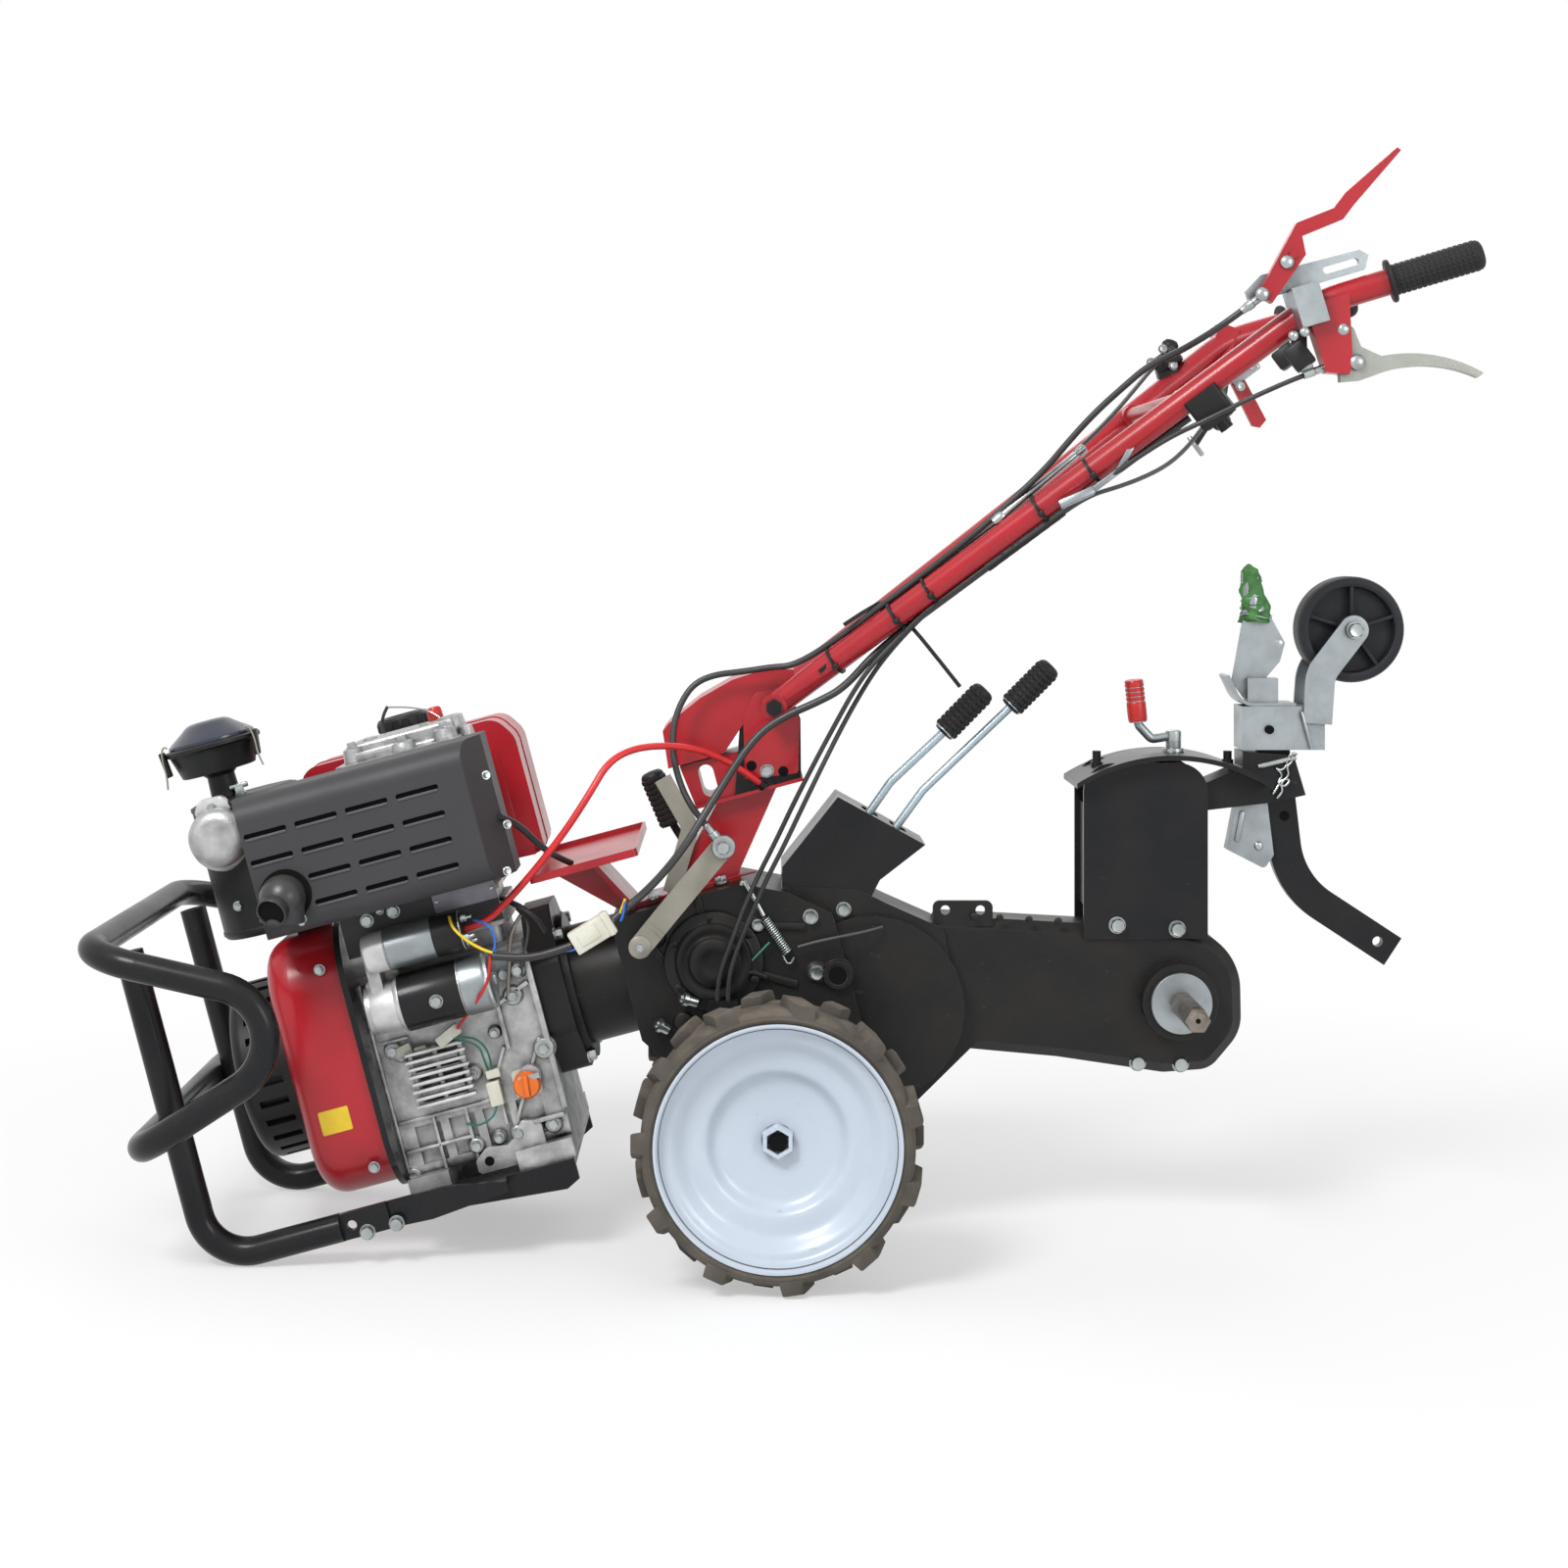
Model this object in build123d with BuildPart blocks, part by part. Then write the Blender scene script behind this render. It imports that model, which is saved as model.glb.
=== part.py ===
"""Walk-behind diesel power tiller with a rear tine shaft, parked nose down on its front guard.

Frame: X runs rearward, Y to the machine's right, Z up. The origin lies on the
floor below the drive-wheel axle. Lengths are millimetres and angles are degrees.
The engine, gearbox and front guard are drawn in a frame that is tilted about
the axle, because the parked machine leans forward on its guard.
"""

import math
import os

from build123d import *

os.makedirs("parts", exist_ok=True)

# ---------------------------------------------------------------- wheels
tyre_width = 80.0
tyre_radius = 148.0
tyre_bead_radius = 127.0
lug_height = 12.0
lug_count = 11
lug_length = 24.0
lug_slant = 14.0
wheel_offset = 255.0
rim_radius = 135.0
rim_sheet = 3.5
hub_radius = 18.0
hub_length = 70.0
hub_flange_radius = 27.0
hub_flange = 8.0
hex_depth = 30.0
hex_across_flats = 23.0
hex_clearance = 0.4
axle_tube_radius = 30.0
axle_tube_reach = 150.0
axle_clearance = 0.08
axle_journal_radius = 15.0
axle_journal_length = 90.0
axle_collar = 6.0
bend_share = 0.45

lug_tip_radius = tyre_radius + lug_height
lug_half_span = (lug_length + lug_slant) / 2
lug_half_angle = math.degrees(math.asin(lug_half_span / lug_tip_radius))
lug_face_radius = lug_tip_radius * math.cos(math.radians(lug_half_angle))
stagger = 180.0 / lug_count
axle_height = lug_tip_radius * math.cos(math.radians(stagger / 2 - lug_half_angle))

# ---------------------------------------------------------------- machine frame
tilt = 15.0
cos_tilt = math.cos(math.radians(tilt))
sin_tilt = math.sin(math.radians(tilt))
crank_height = 181.0

# ---------------------------------------------------------------- front guard
guard_tube_radius = 16.0
guard_bend = 55.0
guard_leg_offset = 165.0
guard_leg_forward = -651.0
guard_leg_top = 372.0
guard_run_rear = -500.0
loop_half_width = 260.0
loop_bend = 60.0
bracket_thickness = 8.0
bracket_height = 30.0
guard_hole_radius = 5.5

# ---------------------------------------------------------------- engine
block_front = -425.0
block_rear = -232.0
block_half_width = 105.0
block_bottom = 30.0
block_top = 262.0
foot_height = 18.0
foot_half_width = 120.0
mount_plate = 8.0
backplate_thickness = 7.0
shroud_depth = 88.0
shroud_half_width = 155.0
shroud_bottom = 34.0
shroud_top = 333.0
recoil_radius = 104.0
recoil_depth = 69.0
recoil_slots = 26
cylinder_half_width = 72.0
cylinder_front = -395.0
cylinder_rear = -245.0
cylinder_top = 430.0
fin_count = 8
fin_thickness = 5.0
head_top = 505.0
rocker_top = 526.0
tank_near = 74.0
tank_far = 205.0
tank_front = -459.0
tank_rear = -197.0
tank_bottom = 335.0
tank_top = 509.0
muffler_near = -235.0
muffler_far = -132.0
muffler_front = -492.0
muffler_rear = -206.0
muffler_bottom = 349.0
muffler_top = 507.0
slot_length = 48.0
slot_height = 6.0
exhaust_forward = -452.0
exhaust_level = 393.0
exhaust_radius = 24.0
canister_forward = -507.0
canister_offset = -45.0
canister_radius = 62.0
canister_bottom = 345.0
canister_top = 505.0
bowl_forward = -527.0
bowl_radius = 52.0
starter_offset = -150.0
starter_level = 235.0
starter_radius = 32.0
solenoid_level = 295.0
solenoid_radius = 22.0

# ---------------------------------------------------------------- transmission
adapter_depth = 35.0
adapter_radius = 106.0
bell_radius = 70.0
bell_rear = -130.0
gear_half_width = 75.0
gear_top = 256.0
boss_forward = -26.0
boss_level = 179.0
rotary_forward = 136.0
rotary_level = 75.0
rotary_radius = 107.0
rotary_half_width = 60.0
chain_half_width = 38.0
anchor_x = -61.0
anchor_z = 284.0
tine_x = 470.0
tine_z = 275.0
tine_boss_reach = 62.0
tine_reach = 175.0
tine_flats = 25.0
tine_journal_radius = 15.0
tine_bearing_clearance = 0.08
tine_disc_radius = 35.0
tine_disc_gap = 0.5
tine_disc_thickness = 8.0
pin_hole_radius = 4.5
case_chamfer = 12.0
tab_x = 219.5
tab_level = 374.5
tab_length = 70.0
tab_height = 30.0
tab_face = -31.0
tab_thickness = 5.0
tab_hole_radius = 5.5
tab_hole_level = 378.5
tab_hole_spacing = 41.0

# ---------------------------------------------------------------- rear brackets
plate_thickness = 5.0
hood_gap_half = 38.0
hood_front = 360.0
hood_rear = 505.0
hood_bottom = 346.0
arch_half_width = 62.0
arch_thickness = 6.0
stud_radius = 5.0
stud_top = 562.0
seat_radius = 7.0
seat_depth = 7.0
hood_studs = [(381.0, 549.0), (536.0, 552.0)]  # place along, top of its weld seat
socket_half_width = 26.0
bar_half_thickness = 7.0
bar_width = 38.0
bar_hole_radius = 6.0
tail_x = 679.0
tail_z = 706.0
tail_radius = 62.5
tail_half_width = 20.0
tail_axle_radius = 8.0
tail_bore_clearance = 0.08
fork_gap_half = 26.0
fork_plate = 4.0

# ---------------------------------------------------------------- column and handlebar
column_half_width = 42.0
shelf_level = 350.0
sheet = 3.0
pivot_x = -2.0
pivot_z = 619.0
pivot_pin_radius = 6.0
pivot_eye_radius = 15.0
pivot_clearance = 0.08
bar_radius = 14.5
bar_foot_offset = 66.0
handle_rise = 37.5
grip_rise = 16.5
knee_x = 583.0
knee_offset = 258.0
grip_offset = 283.0
grip_reach = 150.0
control_gap = 8.0
grip_length = 118.0
grip_radius = 17.0
clutch_cable_radius = 3.75
steering_cable_radius = 2.75
harness_radius = 4.5
lead_radius = 4.0
cable_gap = 0.3

level_x = Vector(cos_tilt, 0, sin_tilt)
level_z = Vector(-sin_tilt, 0, cos_tilt)


def at(forward, across, height):
    """World point of a place in the machine frame: rearward, to the right, and up from the axle."""
    return Vector(0, across, axle_height) + level_x * forward + level_z * height


def side(across):
    """Side-view plane of the machine frame. It is extruded towards the left side."""
    return Plane(origin=at(0, across, 0), x_dir=level_x, z_dir=(0, -1, 0))


def upright(across):
    """Side-view plane that stands level with the floor. It is extruded towards the left side."""
    return Plane(origin=(0, across, 0), x_dir=(1, 0, 0), z_dir=(0, -1, 0))


def section(forward, across=0.0, height=0.0):
    """Plane across the crankshaft's direction: its x runs right, its y up, its normal rearward."""
    return Plane(origin=at(forward, across, height), x_dir=(0, 1, 0), z_dir=level_x)


def deck(height, forward=0.0, across=0.0):
    """Plane parallel to the engine's base: its x runs rearward, its y right, its normal up."""
    return Plane(origin=at(forward, across, height), x_dir=level_x, z_dir=level_z)


def line_bar(points, bends, radius):
    """Round bar or tube along straight runs joined by tangent arcs."""
    with BuildPart() as bar:
        with BuildLine() as route:
            if bends is None:
                Polyline(*points)
            else:
                FilletPolyline(*points, radius=bends)
        with BuildSketch(Plane(origin=route.line @ 0, z_dir=route.line % 0)):
            Circle(radius)
        sweep()
    return bar.part


def cable(points, radius):
    """Cable along a route in which every corner's arc is as large as its two runs allow."""
    places = [Vector(point) for point in points]
    runs = [after - before for before, after in zip(places, places[1:])]
    bends = []
    for before, after in zip(runs, runs[1:]):
        half_turn = math.radians(before.get_angle(after) / 2)
        bends.append(bend_share * min(before.length, after.length) / math.tan(half_turn))
    with BuildPart() as tube:
        with BuildLine() as route:
            if bends:
                FilletPolyline(*places, radius=bends)
            else:
                Line(*places)
        with BuildSketch(Plane(origin=route.line @ 0, z_dir=route.line % 0)):
            Circle(radius)
        sweep()
    length = sum(edge.length for edge in route.edges())
    share = tube.part.volume / (math.pi * radius**2 * length)
    print(f"cable r {radius}: length {length:.0f}, volume share {share:.4f}, radii", [round(bend) for bend in bends])
    return tube.part


def save(piece, name):
    """Label one sub-part and write it to its own file."""
    piece.label = name
    export_step(piece, f"parts/{name}.step")


# ================================================================ wheels
axle_line = Axis((0, 0, axle_height), (0, 1, 0))
tyre_half = tyre_width / 2
bead_half = tyre_half - 5
flange_half = bead_half + 1
shoulder_radius = tyre_radius - 6
bead_bore = tyre_bead_radius + 0.3
bead_foot = tyre_half - (tyre_half - bead_half) * (shoulder_radius - bead_bore) / (shoulder_radius - rim_radius)
lug_root_radius = 141.0
lug_side_inset = 1.5
well_radius = tyre_bead_radius - rim_sheet
hub_face = -8.0
dish = [(26, well_radius), (20, 110), (10, 100), (8, 80), (-4, 66), (hub_face, 30), (hub_face, hub_radius)]


def tyre_lug(side_sign, row):
    """One slanted lug at the bottom of a tyre, on its outer (1) or inner (-1) row."""
    edge = row * side_sign * (tyre_half - lug_side_inset)
    start = row * side_sign * 1.0
    lean = lug_slant / 2
    reach = lug_length / 2
    corners = [(lean - reach, start), (lean + reach, start), (reach - lean, edge), (-reach - lean, edge)]
    middle = side_sign * wheel_offset
    with BuildPart() as lug:
        with BuildSketch(Plane.XY.offset(axle_height - lug_face_radius)):
            with BuildLine():
                Polyline(*[(x, middle + y) for x, y in corners], close=True)
            make_face()
        extrude(amount=lug_face_radius - lug_root_radius)
    return lug.part


for side_name, s in (("left", -1), ("right", 1)):
    middle = s * wheel_offset
    wheel_plane = Plane(origin=(0, middle, axle_height), x_dir=(0, 1, 0), z_dir=(1, 0, 0))

    with BuildPart() as tyre:
        with BuildSketch(wheel_plane):
            with BuildLine():
                Polyline(
                    (-bead_foot, bead_bore),
                    (bead_foot, bead_bore),
                    (tyre_half, shoulder_radius),
                    (tyre_half - 7, tyre_radius),
                    (7 - tyre_half, tyre_radius),
                    (-tyre_half, shoulder_radius),
                    close=True,
                )
            make_face()
        revolve(axis=axle_line)
        lugs = []
        for row, phase in ((1, -stagger / 2), (-1, stagger / 2)):
            lug = tyre_lug(s, row)
            lugs += [lug.rotate(axle_line, phase + n * 2 * stagger) for n in range(lug_count)]
        add(lugs)
    save(tyre.part, f"tyre_{side_name}")

    with BuildPart() as rim:
        with BuildSketch(wheel_plane):
            with BuildLine():
                lip = flange_half + rim_sheet
                Polyline(
                    (lip, rim_radius),
                    (flange_half, rim_radius),
                    (flange_half, tyre_bead_radius),
                    (-flange_half, tyre_bead_radius),
                    (-flange_half, rim_radius),
                    (-lip, rim_radius),
                    (-lip, well_radius),
                    (lip, well_radius),
                    close=True,
                )
            make_face()
            with BuildLine():
                front = [(s * out, r) for out, r in dish]
                back = [(s * (out - rim_sheet), r) for out, r in reversed(dish)]
                Polyline(*front, *back, close=True)
            make_face()
        revolve(axis=axle_line)
        hub_plane = Plane(origin=(0, middle + s * 5, axle_height), z_dir=(0, -s, 0))
        with BuildSketch(hub_plane):
            Circle(hub_radius)
        extrude(amount=hub_length)
        with BuildSketch(hub_plane.offset(5 - hub_face + rim_sheet)):
            Circle(hub_flange_radius)
        extrude(amount=hub_flange)
        with BuildSketch(hub_plane):
            RegularPolygon(hex_across_flats / 2, 6, major_radius=False)
        extrude(amount=hex_depth, mode=Mode.SUBTRACT)
        with BuildSketch(hub_plane.offset(hub_length)):
            RegularPolygon(hex_across_flats / 2 - hex_clearance, 6, major_radius=False)
        extrude(amount=wheel_offset + 5 - hub_length - axle_tube_reach)
        with BuildSketch(hub_plane.offset(wheel_offset + 5 - axle_tube_reach - axle_collar)):
            Circle(axle_journal_radius)
        extrude(amount=axle_journal_length)
    save(rim.part, f"rim_{side_name}")


# ================================================================ transmission
with BuildPart() as gearbox:
    with BuildSketch(side(gear_half_width)):
        with BuildLine():
            Polyline(
                (bell_rear, crank_height - bell_radius),
                (bell_rear, crank_height + bell_radius),
                (-97, gear_top),
                (28, gear_top),
                (78, 232),
                (120, 196),
                (120, -20),
                (60, -52),
                (-45, -52),
                (-70, 20),
                close=True,
            )
        make_face()
    extrude(amount=2 * gear_half_width)
    fillet(gearbox.edges().filter_by(Axis.Y).group_by(Axis.Z)[0], radius=25)
    for s in (-1, 1):
        with BuildSketch(Plane(origin=(0, s * gear_half_width, axle_height), z_dir=(0, s, 0))):
            Circle(axle_tube_radius)
        extrude(amount=axle_tube_reach - gear_half_width)
        cover = Plane(origin=at(boss_forward, s * gear_half_width, boss_level), z_dir=(0, s, 0))
        for radius, height in ((56, 8), (42, 14), (24, 20)):
            with BuildSketch(cover):
                Circle(radius)
            extrude(amount=height)
        with BuildSketch(Plane(origin=(0, s * axle_tube_reach, axle_height), z_dir=(0, -s, 0))):
            Circle(axle_journal_radius + axle_clearance)
        extrude(amount=axle_journal_length, mode=Mode.SUBTRACT)
    with BuildSketch(upright(-gear_half_width + 2)):
        with Locations((anchor_x, anchor_z - 9)):
            Rectangle(34, 18)
    extrude(amount=37)
    with BuildSketch(side(rotary_half_width)):
        with Locations((rotary_forward, rotary_level)):
            Circle(rotary_radius)
    extrude(amount=2 * rotary_half_width)
    with BuildSketch(side(rotary_half_width - 12)):
        with BuildLine():
            Polyline((60, 60), (60, 235), (78, 236), (158, 210), (184, 187), (240, 142), (236, 60), close=True)
        make_face()
    extrude(amount=2 * rotary_half_width - 24)
save(gearbox.part, "gearbox")

tine_plane = Plane(origin=(tine_x, 0, tine_z), x_dir=(1, 0, 0), z_dir=(0, -1, 0))
case_outline = [(190, 371), (545, 352), (547, 235), (510, 191), (455, 187), (331, 205.4), (226, 215)]
case_bends = [72, 50, 30, 30, 80]
with BuildPart() as chain_case:
    with BuildSketch(upright(chain_half_width)):
        with BuildLine():
            FilletPolyline(*case_outline, radius=case_bends)
            Polyline(case_outline[-1], (160, 150), (130, 170), case_outline[0])
        make_face()
    extrude(amount=2 * chain_half_width)
    case_rims = chain_case.faces().filter_by(Axis.Y).edges()
    chamfer(case_rims.filter_by(lambda edge: edge.center().X > case_outline[-1][0]), length=case_chamfer)
    with BuildSketch(tine_plane.offset(-tine_boss_reach)):
        Circle(tine_disc_radius + 9)
    extrude(amount=2 * tine_boss_reach)
    with BuildSketch(upright(tab_face)) as tab:
        with Locations((tab_x, tab_level)):
            Rectangle(tab_length, tab_height)
        fillet(tab.vertices().group_by(Axis.Y)[-1], radius=8)
        with Locations((tab_x - tab_hole_spacing / 2, tab_hole_level), (tab_x + tab_hole_spacing / 2, tab_hole_level)):
            Circle(tab_hole_radius, mode=Mode.SUBTRACT)
    extrude(amount=tab_thickness)
    with BuildSketch(tine_plane.offset(-tine_boss_reach)):
        Circle(tine_journal_radius + tine_bearing_clearance)
    extrude(amount=2 * tine_boss_reach, mode=Mode.SUBTRACT)
    add(gearbox.part, mode=Mode.SUBTRACT)
save(chain_case.part, "chain_case")

with BuildPart() as tine_shaft:
    with BuildSketch(tine_plane.offset(-tine_reach)):
        RegularPolygon(tine_flats / 2, 6, major_radius=False)
    extrude(amount=2 * tine_reach)
    with BuildSketch(tine_plane.offset(-tine_boss_reach - tine_disc_gap)):
        Circle(tine_journal_radius)
    extrude(amount=2 * (tine_boss_reach + tine_disc_gap))
    with BuildSketch(Plane(origin=(tine_x, 0, tine_z - tine_flats))) as holes:
        with Locations((0, tine_reach - 15), (0, 15 - tine_reach)):
            Circle(pin_hole_radius)
    extrude(amount=2 * tine_flats, mode=Mode.SUBTRACT)
    for s in (-1, 1):
        disc_y = s * (tine_boss_reach + tine_disc_gap)
        with BuildSketch(Plane(origin=(tine_x, disc_y, tine_z), z_dir=(0, s, 0))):
            Circle(tine_disc_radius)
        extrude(amount=tine_disc_thickness)
save(tine_shaft.part, "tine_shaft")

# ================================================================ engine
with BuildPart() as engine_mount:
    with BuildSketch(side(foot_half_width + 8)):
        with BuildLine():
            Polyline((-424, 4), (-424, 12), (-234, 12), (-234, 4), close=True)
        make_face()
    extrude(amount=2 * (foot_half_width + 8))
    for edge in (foot_half_width + 8, -foot_half_width - 2):
        with BuildSketch(side(edge)):
            with BuildLine():
                Polyline((-424, 12), (-234, 12), (-234, -12), (-250, -20), (-424, -4), close=True)
            make_face()
        extrude(amount=6)
    for s in (-1, 1):
        lug_inner = s * (guard_leg_offset - bracket_thickness / 2 - 6)
        with BuildSketch(side(max(lug_inner, lug_inner + s * 6))):
            with BuildLine():
                Polyline((guard_run_rear + 22, -2), (guard_run_rear + 22, 26), (-380, 26), (-310, 14), (-310, 2), (-400, -6), close=True)
            make_face()
        extrude(amount=6)
        reach = (foot_half_width + 8 + abs(lug_inner)) / 2
        with BuildSketch(deck(4, -355, s * reach)):
            Rectangle(84, abs(lug_inner) - foot_half_width - 8 + 0.4)
        extrude(amount=mount_plate)
save(engine_mount.part, "engine_mount")

with BuildPart() as crankcase:
    with BuildSketch(side(block_half_width)):
        with BuildLine():
            Polyline(
                (block_front, block_bottom),
                (block_front, block_top),
                (block_rear, block_top),
                (block_rear, block_bottom),
                close=True,
            )
        make_face()
    extrude(amount=2 * block_half_width)
    fillet(crankcase.edges().filter_by(lambda e: abs((e % 0).dot(level_x)) > 0.99), radius=14)
    for front, rear in ((block_front, block_front + 48), (block_rear - 66, block_rear)):
        with BuildSketch(deck(12)):
            with Locations(((front + rear) / 2, 0)):
                Rectangle(rear - front, 2 * foot_half_width)
        extrude(amount=foot_height + 4)
    for s in (-1, 1):
        with BuildSketch(side(s * block_half_width)):
            with Locations((-389, 66), (-349, 66), (-309, 66), (-270, 66)):
                Rectangle(30, 44)
        extrude(amount=6, both=True, mode=Mode.SUBTRACT)
    with BuildSketch(side(-block_half_width)):
        with Locations((-357, 143)):
            Rectangle(50, 64)
    extrude(amount=10)
    for n in range(6):
        with BuildSketch(side(-block_half_width - 10)):
            with Locations((-357, 114 + n * 11.6)):
                Rectangle(50, 4)
        extrude(amount=12)
    with BuildSketch(side(-block_half_width)):
        with Locations((-260, 113)):
            Circle(13)
    extrude(amount=16)
    with BuildSketch(side(-block_half_width - 16)):
        with Locations((-260, 113)):
            Rectangle(24, 6)
    extrude(amount=7)
save(crankcase.part, "crankcase")

with BuildPart() as backplate:
    with BuildSketch(section(block_front - backplate_thickness)):
        with Locations((0, (shroud_bottom + shroud_top) / 2)):
            RectangleRounded(2 * shroud_half_width + 14, shroud_top - shroud_bottom + 14, 70)
    extrude(amount=backplate_thickness)
save(backplate.part, "blower_backplate")

with BuildPart() as fan_shroud:
    with BuildSketch(section(block_front - backplate_thickness - shroud_depth)):
        with Locations((0, (shroud_bottom + shroud_top) / 2)):
            RectangleRounded(2 * shroud_half_width, shroud_top - shroud_bottom, 66)
    extrude(amount=shroud_depth)
    fillet(fan_shroud.faces().sort_by(Axis.X)[0].edges(), radius=30)
save(fan_shroud.part, "fan_shroud")

recoil_face = block_front - backplate_thickness - shroud_depth - recoil_depth
with BuildPart() as recoil:
    with BuildSketch(section(recoil_face, 0, crank_height)):
        Circle(recoil_radius)
    extrude(amount=recoil_depth)
    fillet(recoil.edges().filter_by(GeomType.CIRCLE).sort_by(Axis.X)[0], radius=14)
    with BuildSketch(section(recoil_face + 20, 0, crank_height)):
        with PolarLocations(recoil_radius - 4, recoil_slots):
            Rectangle(12, 9)
    extrude(amount=34, mode=Mode.SUBTRACT)
    with BuildSketch(section(recoil_face, 0, crank_height)):
        with PolarLocations(recoil_radius * 0.62, recoil_slots // 2):
            SlotOverall(36, 9)
    extrude(amount=5, mode=Mode.SUBTRACT)
    with BuildSketch(section(recoil_face - 6, 0, crank_height)):
        Circle(24)
    extrude(amount=8)
save(recoil.part, "recoil_starter")

with BuildPart() as cylinder:
    with BuildSketch(deck(block_top, (cylinder_front + cylinder_rear) / 2)):
        RectangleRounded(cylinder_rear - cylinder_front - 18, 2 * cylinder_half_width - 18, 14)
    extrude(amount=cylinder_top - block_top)
    pitch = (cylinder_top - block_top - fin_thickness) / fin_count
    for n in range(1, fin_count + 1):
        fin_plane = deck(block_top + n * pitch, (cylinder_front + cylinder_rear) / 2)
        with BuildSketch(fin_plane):
            RectangleRounded(cylinder_rear - cylinder_front, 2 * cylinder_half_width, 18)
        extrude(amount=fin_thickness)
    with BuildSketch(deck(cylinder_top, (cylinder_front + cylinder_rear) / 2)):
        RectangleRounded(cylinder_rear - cylinder_front, 2 * cylinder_half_width - 14, 16)
    extrude(amount=head_top - cylinder_top)
    with BuildSketch(deck(head_top, (cylinder_front + cylinder_rear) / 2 + 4, 8)):
        RectangleRounded(cylinder_rear - cylinder_front - 24, 2 * cylinder_half_width - 44, 14)
    extrude(amount=rocker_top - head_top)
    fillet(cylinder.faces().sort_by(Axis.Z)[-1].edges(), radius=5)
save(cylinder.part, "cylinder_head")

with BuildPart() as fuel_tank:
    with BuildSketch(side(tank_far)) as tank_side:
        with BuildLine():
            Polyline(
                (tank_front, tank_bottom + 12),
                (tank_front, tank_top - 10),
                (tank_front + 12, tank_top),
                (tank_rear - 18, tank_top),
                (tank_rear, tank_top - 28),
                (tank_rear, tank_bottom),
                (block_front + 15, tank_bottom),
                (block_front + 5, tank_bottom + 12),
                close=True,
            )
        make_face()
        fillet(tank_side.vertices(), radius=6)
    extrude(amount=tank_far - tank_near)
    fillet(fuel_tank.faces().filter_by(Axis.Y).edges(), radius=10)
    with BuildSketch(deck(tank_top - 1, -332, (tank_near + tank_far) / 2)):
        Circle(33)
    extrude(amount=20)
    with BuildSketch(side(tank_near + 0.5)):
        with Locations((-320, 385)):
            Rectangle(90, 84)
    extrude(amount=tank_near - cylinder_half_width + 0.5)
save(fuel_tank.part, "fuel_tank")

with BuildPart() as muffler:
    with BuildSketch(deck(muffler_bottom)):
        with BuildLine():
            Polyline(
                (muffler_front, muffler_far),
                (muffler_front, muffler_near + 50),
                (muffler_front + 10, muffler_near),
                (muffler_rear - 22, muffler_near),
                (muffler_rear, muffler_near + 50),
                (muffler_rear, muffler_far),
                close=True,
            )
        make_face()
    extrude(amount=muffler_top - muffler_bottom)
    near_face = muffler.faces().sort_by(Axis.Y)[0]
    long_edges = near_face.edges().filter_by(lambda e: abs((e % 0).dot(level_x)) > 0.99)
    fillet(long_edges, radius=24)
    with BuildSketch(side(muffler_near + 4)):
        for row in range(4):
            for column in range(4):
                if column > 0 or row < 2:
                    with Locations((-454.5 + 57.2 * column, 466 - 29.4 * row)):
                        SlotOverall(slot_length, slot_height)
        with Locations((exhaust_forward, exhaust_level)):
            Circle(exhaust_radius + 4)
    extrude(amount=10, mode=Mode.SUBTRACT)
    with BuildSketch(side(muffler_near + 4)):
        with Locations((exhaust_forward, exhaust_level)):
            Circle(exhaust_radius)
    extrude(amount=14)
    with Locations(at(exhaust_forward, muffler_near - 10, exhaust_level)):
        Sphere(exhaust_radius)
    down = Plane(origin=at(exhaust_forward, muffler_near - 10, exhaust_level), z_dir=-level_z - level_x * 0.3)
    with BuildSketch(down):
        Circle(exhaust_radius)
    extrude(amount=26)
    with BuildSketch(down.offset(6)):
        Circle(exhaust_radius - 3)
    extrude(amount=24, mode=Mode.SUBTRACT)
    with BuildSketch(side(7 - cylinder_half_width)):
        with Locations((-320, 455)):
            Circle(17)
    extrude(amount=7 - cylinder_half_width - muffler_far + 1)
    with BuildSketch(side(muffler_far - 2)):
        with BuildLine():
            Polyline((-420, 296), (-420, muffler_bottom + 1), (-240, muffler_bottom + 1), (-240, 296), close=True)
        make_face()
    extrude(amount=4)
    with BuildSketch(deck(296, -330, -(cylinder_half_width - muffler_far + 2) / 2)):
        Rectangle(120, -muffler_far + 2 - cylinder_half_width)
    extrude(amount=4)
save(muffler.part, "muffler_shield")

with BuildPart() as canister:
    with BuildSketch(deck(canister_bottom, canister_forward, canister_offset)):
        Circle(canister_radius)
    extrude(amount=canister_top - canister_bottom)
    fillet(canister.edges().filter_by(GeomType.CIRCLE), radius=6)
    with BuildSketch(deck(shroud_top, -467, canister_offset)):
        Rectangle(34, 40)
    extrude(amount=canister_bottom - shroud_top + 1)
save(canister.part, "air_filter_canister")

casting_near = muffler_far + 4
with BuildPart() as casting:
    with BuildSketch(side(canister_offset)):
        with Locations((-533, 466)):
            Circle(34)
    extrude(amount=canister_offset - casting_near)
    fillet(casting.edges().filter_by(GeomType.CIRCLE).sort_by(Axis.Y)[0], radius=14)
    with BuildSketch(section(-533, casting_near + 22, 462)):
        Circle(20)
    extrude(amount=533 - 340)
    with BuildSketch(side(7 - cylinder_half_width)):
        with Locations((-362, 462)):
            Circle(18)
    extrude(amount=7 - cylinder_half_width - casting_near - 22)
    add(canister.part, mode=Mode.SUBTRACT)
save(casting.part, "intake_casting")

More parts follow.
